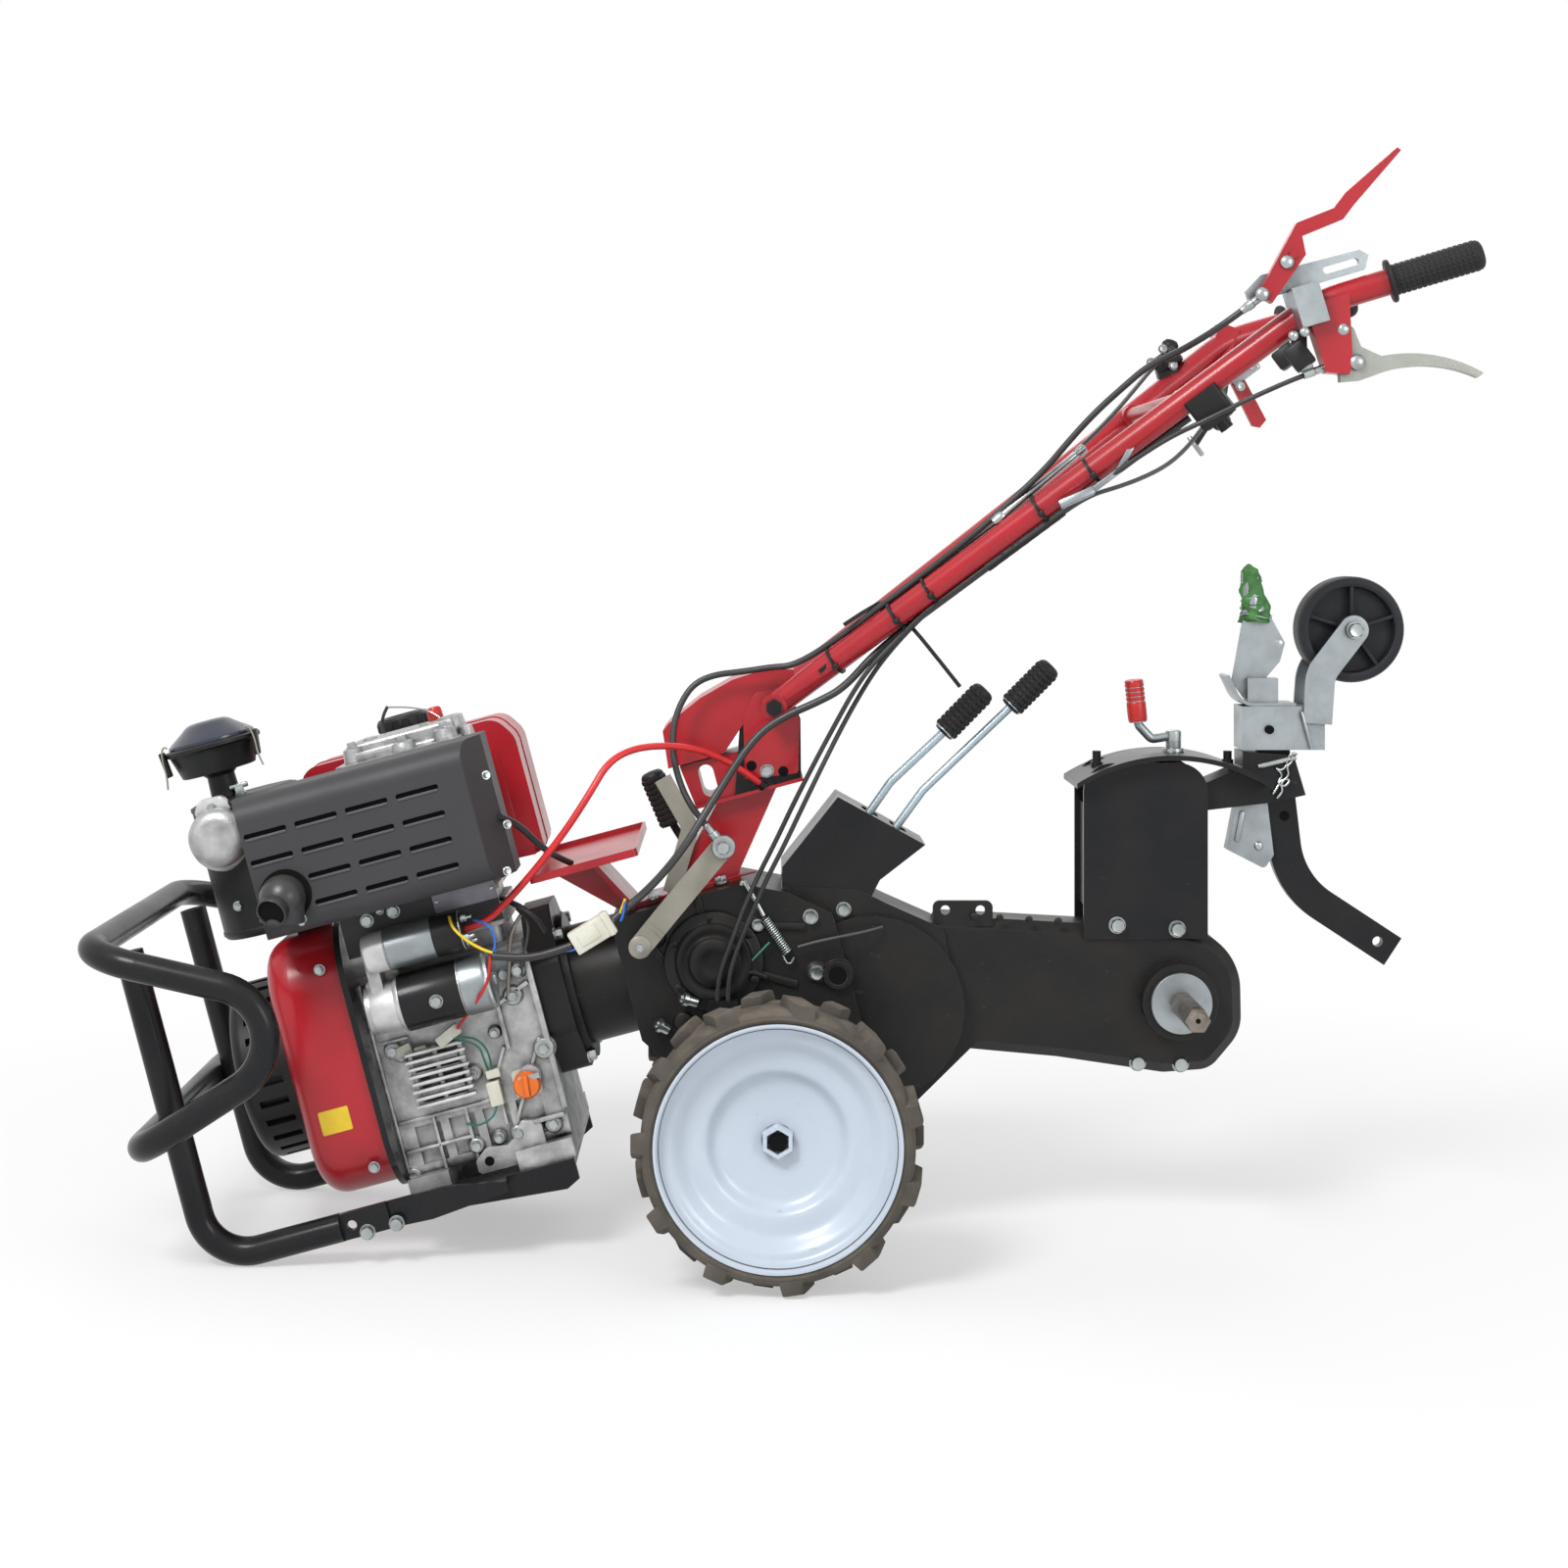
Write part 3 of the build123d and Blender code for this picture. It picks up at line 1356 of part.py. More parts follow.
harness_sleeve = [(-314, -205, 353), (-283, -207, 350), (-252, -205, 355), (-227, -203, 364)]
connector = Plane(origin=(-227, -203, 364), x_dir=(0, 1, 0), z_dir=(46, 3, 28))
connector_run = Vector(46, 3, 28)
harness_route = [
    tuple(Vector(-227, -203, 364) + connector_run),
    (-164, -197, 406),
    (-134, -175, 431),
    (-104, -146, 465),
    (-83, -129, 498),
    (-62, -119, 531),
    (-40, -113, 565),
    (-18, -108, 592),
    (9, -106, 610),
    (46, -109, 626),
    (78, -112, 643),
    tuple(beside_bar(0.18, 213, 21)),
    tuple(beside_bar(0.25, 213, 19.4)),
]
with BuildPart() as harness:
    add(cable(harness_sleeve, harness_radius))
    add(cable(harness_route, harness_radius))
    with BuildSketch(connector):
        RectangleRounded(15, 26, 3)
    extrude(amount=connector_run.length)
save(harness.part, "wire_harness")

clutch_route = [
    tuple(clevis + clevis_lift * 1.01),
    tuple(clevis + clevis_lift * 1.7),
    (-105, -99, 521),
    (-114, -92, 545),
    (-119, -85, 571),
    (-118, -79, 599),
    (-109, -74, 625),
    (-94, -71, 646),
    (-70, -69, 656),
    (-40, -68, 659),
    (-2, -70, 665),
    tuple(beside_bar(0.06, 2, 25)),
    tuple(beside_bar(0.11, 1, 19.4)),
    tuple(beside_bar(0.16, 0, 18.8)),
]
save(cable(clutch_route, clutch_cable_radius), "clutch_cable")

steering_routes = {
    "front": [
        (-67, -104, anchor_z + cable_gap),
        (-67, -104, 304),
        (-60, -104, 329),
        (-51, -104, 353),
        (-39, -102, 386),
        (-21, -99, 426),
        (0, -99, 467),
        (21, -102, 512),
        (47, -106, 563),
        (70, -110, 606),
        (88, -114, 639),
        (107, -117, 667),
        tuple(beside_bar(0.23, 168, 22)),
        tuple(beside_bar(0.28, 168, 17.8)),
    ],
    "rear": [
        (-55, -103, anchor_z + cable_gap),
        (-55, -103, 306),
        (-49, -102, 331),
        (-40, -101, 355),
        (-28, -101, 384),
        (-11, -103, 423),
        (10, -107, 464),
        (32, -110, 511),
        (56, -107, 560),
        (78, -105, 603),
        (97, -106, 637),
        (117, -109, 669),
        tuple(beside_bar(0.235, 188, 22)),
        tuple(beside_bar(0.28, 188, 17.8)),
    ],
}
with BuildPart() as steering_cables:
    for route in steering_routes.values():
        add(cable(route, steering_cable_radius))
save(steering_cables.part, "steering_cables")

bar_routes = [
    (
        clutch_cable_radius,
        [
            tuple(beside_bar(0.1604, 0, 18.8)),
            tuple(beside_bar(0.23, 3, 19.0)),
            tuple(beside_bar(0.30, -3, 19.6)),
            tuple(beside_bar(0.37, 2, 20.2)),
            tuple(beside_bar(0.44, 0, 23)),
            (299, -159, 888),
            (328, -169, 924),
            (356, -177, 955),
            (384, -187, 981),
            (411, -199, 1005),
            (440, -218, 1018),
            (461, -250, 1031),
            tuple(lever_pin + barrel * 1.8),
            tuple(lever_pin + barrel),
        ],
    ),
    (
        steering_cable_radius,
        [
            tuple(beside_bar(0.22, -26, 17.8)),
            tuple(beside_bar(0.30, -30, 17.8)),
            tuple(beside_bar(0.38, -26, 18.2)),
            tuple(beside_bar(0.45, -40, 24)),
            (310, -120, 880),
            (345, -70, 912),
            (382, -15, 942),
            (416, 48, 972),
            (446, 110, 1000),
            (472, 170, 1024),
            (493, 216, 1040),
        ],
    ),
    (
        steering_cable_radius,
        [
            tuple(beside_bar(0.2804, 168, 17.8)),
            tuple(beside_bar(0.36, 166, 17.8)),
            tuple(beside_bar(0.44, 169, 18)),
            tuple(beside_bar(0.51, 167, 18.6)),
            tuple(beside_bar(0.57, 165, 19)),
            (366, -199, 880),
            (397, -214, 903),
            (430, -233, 925),
            (461, -248, 940),
            (497, -254, 958),
            (533, -261, 975),
            (565.5, -266, 988.9),
            (588.3, -266, 996.5),
        ],
    ),
    (
        steering_cable_radius,
        [
            tuple(beside_bar(0.2804, 188, 17.8)),
            tuple(beside_bar(0.36, 190, 17.8)),
            tuple(beside_bar(0.44, 187, 18)),
            tuple(beside_bar(0.52, 191, 18.6)),
            (352, -150, 862),
            (390, -105, 872),
            (428, -50, 884),
            (466, 10, 900),
            (500, 75, 922),
            (530, 140, 948),
            (556, 196, 975),
            (576, 240, 998),
        ],
    ),
    (
        harness_radius,
        [
            tuple(beside_bar(0.2504, 213, 19.4)),
            tuple(beside_bar(0.76, 213, 19.4)),
        ],
    ),
]
with BuildPart() as handlebar_cables:
    for radius, route in bar_routes:
        add(cable(route, radius))
save(handlebar_cables.part, "handlebar_cables")
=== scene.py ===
import math
import random

import bmesh
import bpy
from mathutils import Matrix, Vector


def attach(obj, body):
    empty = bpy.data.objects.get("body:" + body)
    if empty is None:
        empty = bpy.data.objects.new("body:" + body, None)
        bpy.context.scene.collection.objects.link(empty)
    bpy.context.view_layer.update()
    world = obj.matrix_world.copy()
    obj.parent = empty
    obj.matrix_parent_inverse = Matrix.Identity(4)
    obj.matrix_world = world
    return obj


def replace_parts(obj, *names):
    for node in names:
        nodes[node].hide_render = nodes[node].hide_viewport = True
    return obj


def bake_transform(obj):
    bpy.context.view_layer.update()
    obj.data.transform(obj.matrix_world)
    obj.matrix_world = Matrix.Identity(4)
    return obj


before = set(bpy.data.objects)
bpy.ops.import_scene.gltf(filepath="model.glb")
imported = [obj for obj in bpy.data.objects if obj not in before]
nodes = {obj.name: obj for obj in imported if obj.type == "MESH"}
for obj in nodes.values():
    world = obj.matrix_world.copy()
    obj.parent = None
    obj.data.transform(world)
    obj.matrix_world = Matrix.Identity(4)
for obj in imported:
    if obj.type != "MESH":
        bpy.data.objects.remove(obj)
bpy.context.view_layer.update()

scene = bpy.context.scene

# ---------------------------------------------------------------- camera
camera_data = bpy.data.cameras.new("camera")
camera_data.sensor_width = 36.0
camera_data.lens = 58.16
camera_data.shift_x = 0.0256
camera_data.shift_y = -0.1575
camera = bpy.data.objects.new("camera", camera_data)
camera.location = (-0.0367, -3.0, 0.815)
camera.rotation_euler = (math.radians(90), 0, 0)
scene.collection.objects.link(camera)
scene.camera = camera
scene.view_settings.view_transform = "Standard"

# ---------------------------------------------------------------- places
TILT = math.radians(15.0)
AXLE_HEIGHT = 159.95
ALONG = Vector((math.cos(TILT), 0, math.sin(TILT)))
UP = Vector((-math.sin(TILT), 0, math.cos(TILT)))
RIGHT = Vector((0, 1, 0))
TOWARDS = -RIGHT


def point(x, y, z):
    """Place in millimetres, level with the floor."""
    return Vector((x, y, z)) * 0.001


def on_machine(forward, across, height):
    """Place in millimetres in the nose-down machine's own frame: rearward, right, up from the axle."""
    return (ALONG * forward + RIGHT * across + UP * height + Vector((0, 0, AXLE_HEIGHT))) * 0.001


# The left handle tube: its foot and its run in millimetres, and the directions beside it.
BAR_FOOT = Vector((-2, -66, 619))
BAR_RUN = Vector((585, -192, 448.895))
BAR_AIM = BAR_RUN.normalized()
BAR_TOP = (Vector((0, 0, 1)) - BAR_AIM * BAR_AIM.z).normalized()
BAR_NEAR = BAR_AIM.cross(BAR_TOP)


def beside_bar(share, turn, away):
    """Place beside the left handle tube: a share of its length, a turn from its top, away from its middle."""
    lift = BAR_TOP * math.cos(math.radians(turn)) + BAR_NEAR * math.sin(math.radians(turn))
    return (BAR_FOOT + BAR_RUN * share + lift * away) * 0.001


def places_of(where, *rows):
    """Several places of one kind: point, on_machine or beside_bar."""
    return [where(*row) for row in rows]


# ---------------------------------------------------------------- shader groups
def add_node(tree, kind, inputs=None, **settings):
    """Shader node with its settings, and its inputs linked or set."""
    made = tree.nodes.new(kind)
    for key, value in settings.items():
        setattr(made, key, value)
    for key, value in (inputs or {}).items():
        if isinstance(value, bpy.types.NodeSocket):
            tree.links.new(value, made.inputs[key])
        else:
            made.inputs[key].default_value = value
    return made


def new_group(name, inputs, output, kind="NodeSocketFloat"):
    """Empty shader group: its tree, its input sockets and the socket that gives it out."""
    tree = bpy.data.node_groups.new(name, "ShaderNodeTree")
    for socket, value in inputs.items():
        tree.interface.new_socket(socket, in_out="INPUT", socket_type="NodeSocketFloat").default_value = value
    tree.interface.new_socket(output, in_out="OUTPUT", socket_type=kind)
    return tree, tree.nodes.new("NodeGroupInput").outputs, tree.nodes.new("NodeGroupOutput").inputs[output]


def math_node(tree, operation, first, second):
    """Clamped result of one operation on two values."""
    return add_node(tree, "ShaderNodeMath", {0: first, 1: second}, operation=operation, use_clamp=True).outputs[0]


def product(tree, first, *others):
    """Clamped product of several values."""
    for other in others:
        first = math_node(tree, "MULTIPLY", first, other)
    return first


def ramp(tree, value, low, high):
    """Value stretched so that low gives 0 and high gives 1."""
    inputs = {"Value": value, "From Min": low, "From Max": high}
    return add_node(tree, "ShaderNodeMapRange", inputs).outputs["Result"]


def object_place(tree):
    """Place in the object's own space."""
    return tree.nodes.new("ShaderNodeTexCoord").outputs["Object"]


def noise(tree, scale, detail, place=None, roughness=0.55):
    """Noise in the object's own space, or in a place that is given."""
    inputs = {"Vector": place or object_place(tree), "Scale": scale, "Detail": detail, "Roughness": roughness}
    return add_node(tree, "ShaderNodeTexNoise", inputs).outputs["Fac"]


def make_mottle():
    """Soft patches between two tones."""
    tree, given, mask = new_group("mottle", {"Scale": 12.0, "Low": 0.35, "High": 0.65}, "Mask")
    tree.links.new(ramp(tree, noise(tree, given["Scale"], 6.0), given["Low"], given["High"]), mask)
    return tree


def make_settled_dust():
    """Dust in patches, thicker on what faces up."""
    tree, given, mask = new_group("settled dust", {"Scale": 20.0, "Amount": 0.3}, "Mask")
    normal = tree.nodes.new("ShaderNodeTexCoord").outputs["Normal"]
    facing = add_node(tree, "ShaderNodeSeparateXYZ", {"Vector": normal}).outputs["Z"]
    upward = math_node(tree, "ADD", ramp(tree, facing, 0.1, 1.0), 0.25)
    patches = ramp(tree, noise(tree, given["Scale"], 8.0, roughness=0.65), 0.32, 0.72)
    tree.links.new(product(tree, upward, patches, given["Amount"]), mask)
    return tree


def make_edge_wear():
    """Chips along the edges, where a rounded normal parts from the true one."""
    tree, given, mask = new_group("edge wear", {"Width": 0.002, "Scale": 60.0, "Amount": 0.5}, "Mask")
    rounded = add_node(tree, "ShaderNodeBevel", {"Radius": given["Width"]}, samples=4).outputs["Normal"]
    true_normal = tree.nodes.new("ShaderNodeNewGeometry").outputs["Normal"]
    agreement = add_node(tree, "ShaderNodeVectorMath", {0: rounded, 1: true_normal}, operation="DOT_PRODUCT")
    edge = math_node(tree, "SUBTRACT", 1.0, agreement.outputs["Value"])
    chips = ramp(tree, noise(tree, given["Scale"], 6.0, roughness=0.7), 0.42, 0.62)
    tree.links.new(product(tree, ramp(tree, edge, 0.02, 0.22), chips, given["Amount"]), mask)
    return tree


def make_crevice_shade_and_dirt():
    """Painted shade in the places that see little of the open, broken into patches that also stand for dirt."""
    tree, given, mask = new_group("crevice grime", {"Distance": 0.02, "Scale": 45.0, "Amount": 0.5}, "Mask")
    open_sky = add_node(tree, "ShaderNodeAmbientOcclusion", {"Distance": given["Distance"]}, samples=4).outputs["AO"]
    closed = ramp(tree, math_node(tree, "SUBTRACT", 1.0, open_sky), 0.15, 0.75)
    patches = ramp(tree, noise(tree, given["Scale"], 6.0), 0.3, 0.6)
    tree.links.new(product(tree, closed, patches, given["Amount"]), mask)
    return tree


def make_fine_grain():
    """Fine relief of paint, rubber or a casting."""
    tree, given, height = new_group("fine grain", {"Scale": 900.0, "Detail": 3.0}, "Height")
    tree.links.new(noise(tree, given["Scale"], given["Detail"]), height)
    return tree


def make_scratches():
    """Small marks, a little drawn out, in scattered patches."""
    tree, given, mask = new_group("scratches", {"Scale": 30.0, "Amount": 0.5}, "Mask")
    drawn_out = add_node(tree, "ShaderNodeMapping", {"Vector": object_place(tree), "Scale": (1.0, 1.0, 2.6)})
    drawn_out.inputs["Rotation"].default_value = (0.2, 0.7, 0.4)
    streak = ramp(tree, noise(tree, given["Scale"], 5.0, drawn_out.outputs["Vector"]), 0.68, 0.71)
    patches = ramp(tree, noise(tree, 9.0, 3.0), 0.45, 0.6)
    tree.links.new(product(tree, streak, patches, given["Amount"]), mask)
    return tree


mottle = make_mottle()
settled_dust = make_settled_dust()
edge_wear = make_edge_wear()
crevice_shade_and_dirt = make_crevice_shade_and_dirt()
fine_grain = make_fine_grain()
scratches = make_scratches()


# ---------------------------------------------------------------- materials
DUST = (0.30, 0.25, 0.19, 1)
# Colour of the painted shade and dirt in crevices, used where little of the open is seen.
SHADE_AND_DIRT = (0.035, 0.030, 0.026, 1)
BARE_STEEL = (0.42, 0.41, 0.39, 1)
SHADE_AND_DIRT_REACH = 0.015  # how near the next surface is where the painted shade and dirt gather
WEAR_WIDTH = 0.0010  # width of the worn band along an edge
COAT_ROUGHNESS = 0.16


def group_in(tree, group, inputs):
    """Output of a shader group that is placed in a tree with its inputs set."""
    made = tree.nodes.new("ShaderNodeGroup")
    made.node_tree = group
    for key, value in inputs.items():
        made.inputs[key].default_value = value
    return made.outputs[0]


def mixed(tree, mask, first, second):
    """Colour that goes from the first to the second by a mask."""
    made = add_node(tree, "ShaderNodeMix", {0: mask}, data_type="RGBA")
    for socket, value in ((6, first), (7, second)):
        if isinstance(value, bpy.types.NodeSocket):
            tree.links.new(value, made.inputs[socket])
        else:
            made.inputs[socket].default_value = value
    return made.outputs[2]


def finish(name, colour, deep, rough, metal=0.0, *, tone=14.0, dust=0.0, shade_and_dirt=0.0, wear=0.0, marks=0.0,
           mark_colour=BARE_STEEL, grain=900.0, bump=0.1, depth=0.0005, coat=0.0, spread=0.12, shine=0.5):
    """Material of one finish: two tones, settled dust, painted shade with dirt in crevices, worn edges and scratches,
    over a fine grain.
    """
    made = bpy.data.materials.new(name)
    made.use_nodes = True
    tree = made.node_tree
    surface = tree.nodes["Principled BSDF"]
    tones = group_in(tree, mottle, {"Scale": tone, "Low": 0.3, "High": 0.7})
    shade = mixed(tree, tones, (*colour, 1), (*deep, 1))
    sheen = add_node(tree, "ShaderNodeMapRange", {"Value": tones, "To Min": rough, "To Max": rough + spread})
    roughness = sheen.outputs["Result"]
    if dust:
        dusted = group_in(tree, settled_dust, {"Scale": tone * 1.7, "Amount": dust})
        shade = mixed(tree, dusted, shade, DUST)
        roughness = math_node(tree, "ADD", roughness, dusted)
    if shade_and_dirt:
        # Painted shade: darker in crevices and where parts are close, in patches that also stand for dirt.
        shaded_and_dirtied = group_in(tree, crevice_shade_and_dirt, {"Distance": SHADE_AND_DIRT_REACH, "Scale": 50.0, "Amount": shade_and_dirt})
        shade = mixed(tree, shaded_and_dirtied, shade, SHADE_AND_DIRT)
    if marks:
        marked = group_in(tree, scratches, {"Scale": 40.0, "Amount": marks})
        shade = mixed(tree, marked, shade, mark_colour)
    if wear:
        worn = group_in(tree, edge_wear, {"Width": WEAR_WIDTH, "Scale": 70.0, "Amount": wear})
        shade = mixed(tree, worn, shade, BARE_STEEL)
        if not metal:
            tree.links.new(worn, surface.inputs["Metallic"])
    tree.links.new(shade, surface.inputs["Base Color"])
    tree.links.new(roughness, surface.inputs["Roughness"])
    if metal:
        surface.inputs["Metallic"].default_value = metal
    surface.inputs["Coat Weight"].default_value = coat
    surface.inputs["Coat Roughness"].default_value = COAT_ROUGHNESS
    surface.inputs["Specular IOR Level"].default_value = shine
    grained = group_in(tree, fine_grain, {"Scale": grain, "Detail": 3.0})
    relief = add_node(tree, "ShaderNodeBump", {"Strength": bump, "Distance": depth, "Height": grained})
    tree.links.new(relief.outputs["Normal"], surface.inputs["Normal"])
    return made


red_paint = finish(
    "red paint", (0.40, 0.008, 0.017), (0.31, 0.005, 0.012), 0.27,
    dust=0.02, shade_and_dirt=0.35, wear=0.02, grain=260, bump=0.03, coat=0.2, spread=0.08, shine=0.4,
)
black_paint = finish(
    "black paint", (0.008, 0.009, 0.011), (0.013, 0.013, 0.014), 0.22,
    dust=0.03, wear=0.12, marks=0.2, mark_colour=(0.08, 0.07, 0.06, 1), grain=420, bump=0.08, coat=0.09,
    shine=0.17,
)
case_paint = finish(
    "case paint", (0.008, 0.008, 0.009), (0.014, 0.013, 0.012), 0.32,
    dust=0.05, wear=0.2, marks=0.35, mark_colour=(0.09, 0.08, 0.07, 1), grain=330, bump=0.22,
    shine=0.25,
)
heat_paint = finish(
    "heat paint", (0.040, 0.040, 0.044), (0.034, 0.034, 0.037), 0.46,
    dust=0.02, grain=1500, bump=0.22, tone=6, shine=0.3,
)
exhaust_black = finish(
    "exhaust black", (0.020, 0.020, 0.022), (0.028, 0.027, 0.027), 0.24,
    dust=0.05, grain=300, bump=0.10,
)
dark_steel = finish("dark steel", (0.085, 0.085, 0.09), (0.06, 0.06, 0.062), 0.42, 0.3, bump=0.1)
lever_alloy = finish(
    "lever alloy", (0.33, 0.34, 0.31), (0.25, 0.26, 0.23), 0.36, 0.6,
    tone=22, shade_and_dirt=0.5, grain=480, bump=0.2,
)
black_plastic = finish(
    "black plastic", (0.009, 0.010, 0.011), (0.015, 0.015, 0.016), 0.34,
    dust=0.03, grain=1200, bump=0.2, shine=0.24,
)
cover_plastic = finish(
    "cover plastic", (0.010, 0.016, 0.034), (0.014, 0.020, 0.034), 0.16,
    dust=0.05, grain=800, bump=0.04, coat=0.3,
)
cast_alloy = finish(
    "cast alloy", (0.56, 0.57, 0.56), (0.30, 0.30, 0.305), 0.34, 0.7,
    tone=48, shade_and_dirt=1.0, dust=0.04, grain=480, bump=0.5, depth=0.0009,
)
pale_alloy = finish(
    "pale alloy", (0.66, 0.67, 0.66), (0.46, 0.46, 0.46), 0.36, 0.5,
    tone=40, shade_and_dirt=0.7, grain=600, bump=0.3,
)
zinc_plate = finish(
    "zinc plate", (0.40, 0.44, 0.46), (0.25, 0.275, 0.285), 0.28, 0.85,
    tone=22, shade_and_dirt=0.8, dust=0.03, marks=0.12, grain=500, bump=0.12,
)
bright_zinc = finish(
    "bright zinc", (0.50, 0.54, 0.54), (0.32, 0.34, 0.34), 0.22, 0.95,
    tone=60, shade_and_dirt=0.8, grain=900, bump=0.1,
)
dull_steel = finish(
    "dull steel", (0.34, 0.32, 0.28), (0.25, 0.24, 0.20), 0.42, 0.55,
    tone=20, shade_and_dirt=0.4, dust=0.04, marks=0.2, grain=420, bump=0.3,
)
shaft_steel = finish(
    "shaft steel", (0.26, 0.23, 0.20), (0.14, 0.12, 0.10), 0.36, 0.75,
    tone=70, shade_and_dirt=0.5, grain=520, bump=0.3,
)
blue_steel = finish(
    "blue steel", (0.46, 0.55, 0.60), (0.38, 0.46, 0.50), 0.36, 0.85,
    tone=9, grain=300, bump=0.04,
)
rim_paint = finish(
    "rim paint", (0.50, 0.56, 0.64), (0.44, 0.50, 0.58), 0.26,
    tone=7, shade_and_dirt=0.6, marks=0.3, mark_colour=(0.22, 0.19, 0.14, 1), grain=200, bump=0.05, coat=0.25,
)
tyre_rubber = finish(
    "tyre rubber", (0.085, 0.073, 0.060), (0.040, 0.036, 0.031), 0.72,
    tone=26, dust=0.35, shade_and_dirt=0.9, grain=700, bump=0.4,
)
grip_rubber = finish(
    "grip rubber", (0.008, 0.008, 0.009), (0.014, 0.013, 0.013), 0.45,
    dust=0.03, grain=1100, bump=0.3, shine=0.3,
)
cable_black = finish(
    "cable black", (0.014, 0.014, 0.015), (0.026, 0.026, 0.026), 0.34,
    tone=30, grain=900, bump=0.1,
)
wheel_plastic = finish(
    "wheel plastic", (0.012, 0.014, 0.018), (0.020, 0.021, 0.025), 0.42,
    dust=0.06, grain=900, bump=0.2, shine=0.22,
)
lead_red = finish("lead red", (0.62, 0.020, 0.022), (0.52, 0.015, 0.018), 0.32, tone=30, bump=0.05)
wire_yellow = finish("wire yellow", (0.78, 0.55, 0.02), (0.68, 0.45, 0.02), 0.40, bump=0.05)
wire_blue = finish("wire blue", (0.02, 0.14, 0.55), (0.02, 0.10, 0.42), 0.40, bump=0.05)
wire_green = finish("wire green", (0.03, 0.20, 0.15), (0.02, 0.14, 0.10), 0.40, bump=0.05)
plug_white = finish("plug white", (0.66, 0.66, 0.58), (0.54, 0.53, 0.44), 0.38, tone=40, shade_and_dirt=0.5, bump=0.1)
knob_red = finish("knob red", (0.52, 0.018, 0.014), (0.40, 0.010, 0.010), 0.30, tone=30, shade_and_dirt=0.5, bump=0.1)
cap_orange = finish("cap orange", (0.80, 0.17, 0.015), (0.68, 0.13, 0.01), 0.32, tone=40, shade_and_dirt=0.4, bump=0.1)
label_yellow = finish(
    "label yellow", (0.72, 0.50, 0.02), (0.62, 0.42, 0.02), 0.45,
    tone=50, marks=0.2, mark_colour=(0.3, 0.22, 0.05, 1), bump=0.05,
)
plate_grey = finish(
    "plate grey", (0.26, 0.26, 0.30), (0.20, 0.20, 0.24), 0.38, 0.3,
    tone=50, marks=0.3, bump=0.05,
)
net_green = finish("net green", (0.07, 0.26, 0.05), (0.03, 0.12, 0.03), 0.50, tone=90, shade_and_dirt=0.5, bump=0.2)
# Near-black that stands in for the shade inside holes, bores, sockets, slots and the exhaust's mouth: painted shade.
shade_black = finish("shade black", (0.003, 0.003, 0.003), (0.005, 0.005, 0.005), 0.70, bump=0.1, shine=0.1)

NODE_FINISH = {
    red_paint: "fan_shroud fuel_tank battery_tray handlebar_column swivel_bracket control_cover handle_tube_left "
    "handle_tube_right handlebar_brace clutch_lever steering_lever_bracket throttle_lever",
    black_paint: "guard_loop guard_leg_left guard_leg_right engine_mount blower_backplate handlebar_yoke shift_box "
    "drag_bar drag_bar_socket hood_bracket",
    case_paint: "gearbox bell_housing chain_case",
    heat_paint: "muffler_shield",
    black_plastic: "air_filter_canister pre_cleaner recoil_starter switch_box",
    cast_alloy: "crankcase cylinder_head starter_motor starter_solenoid intake_casting",
    zinc_plate: "lever_clamp pin_channel tail_wheel_bracket latch_pedal depth_crank",
    lever_alloy: "steering_lever",
    blue_steel: "shift_lever_front shift_lever_rear",
    dull_steel: "clutch_arm lock_strip",
    shaft_steel: "tine_shaft",
    grip_rubber: "gear_lever",
    wheel_plastic: "tail_wheel",
}
for material, names in NODE_FINISH.items():
    for name in names.split():
        for slot in nodes[name].material_slots:
            slot.material = material

# ---------------------------------------------------------------- cords and cables
def routed(name, places, diameter, material, body=None):
    """Round cable whose smooth line follows the places as its control points."""
    data = bpy.data.curves.new(name, "CURVE")
    data.dimensions = "3D"
    data.resolution_u = 8
    data.bevel_depth = diameter / 2
    data.bevel_resolution = 4
    data.use_fill_caps = True
    line = data.splines.new("NURBS")
    line.points.add(len(places) - 1)
    for control, place in zip(line.points, places):
        control.co = (*place, 1)
    line.order_u = 3
    line.use_endpoint_u = True
    data.materials.append(material)
    made = bpy.data.objects.new(name, data)
    scene.collection.objects.link(made)
    if body:
        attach(made, body)
    return made


def route_all(table):
    """Thin runs of a table on the chassis: material, diameter and places on the machine, in millimetres."""
    for name, (material, diameter, places) in table.items():
        routed(name, places_of(on_machine, *places), diameter / 1000, material, "chassis")


def bending(name, pieces, node):
    """Cables that cross the handlebar's pivot, joined into one mesh."""
    work = bmesh.new()
    bpy.context.view_layer.update()
    for piece in pieces:
        mesh = bpy.data.meshes.new_from_object(piece.evaluated_get(bpy.context.evaluated_depsgraph_get()))
        work.from_mesh(mesh)
        bpy.data.meshes.remove(mesh)
        data = piece.data
        bpy.data.objects.remove(piece)
        bpy.data.curves.remove(data)
    for face in work.faces:
        face.smooth = True
    mesh = bpy.data.meshes.new(name)
    work.to_mesh(mesh)
    work.free()
    mesh.materials.append(cable_black)
    made = bpy.data.objects.new(name, mesh)
    scene.collection.objects.link(made)
    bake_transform(made)
    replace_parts(made, node)


solenoid_face = on_machine(-284, -162, 299)
lead_end = point(-19, -51, 529)
lead_aim = Vector((0.70, 0.445, -0.554))
lead_places = [
    solenoid_face + ALONG * 0.0003, solenoid_face + ALONG * 0.026,
    *places_of(
        point, (-296, -169, 413), (-267, -176, 447), (-235, -179, 488), (-208, -173, 530), (-189, -160, 563),
        (-160, -140, 577), (-123, -116, 578), (-87, -93, 571), (-54, -73, 555),
    ),
    lead_end - lead_aim * 0.022, lead_end,
]
battery_lead = routed("battery_lead_red", lead_places, 0.008, lead_red, "chassis")
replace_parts(battery_lead, "battery_lead")

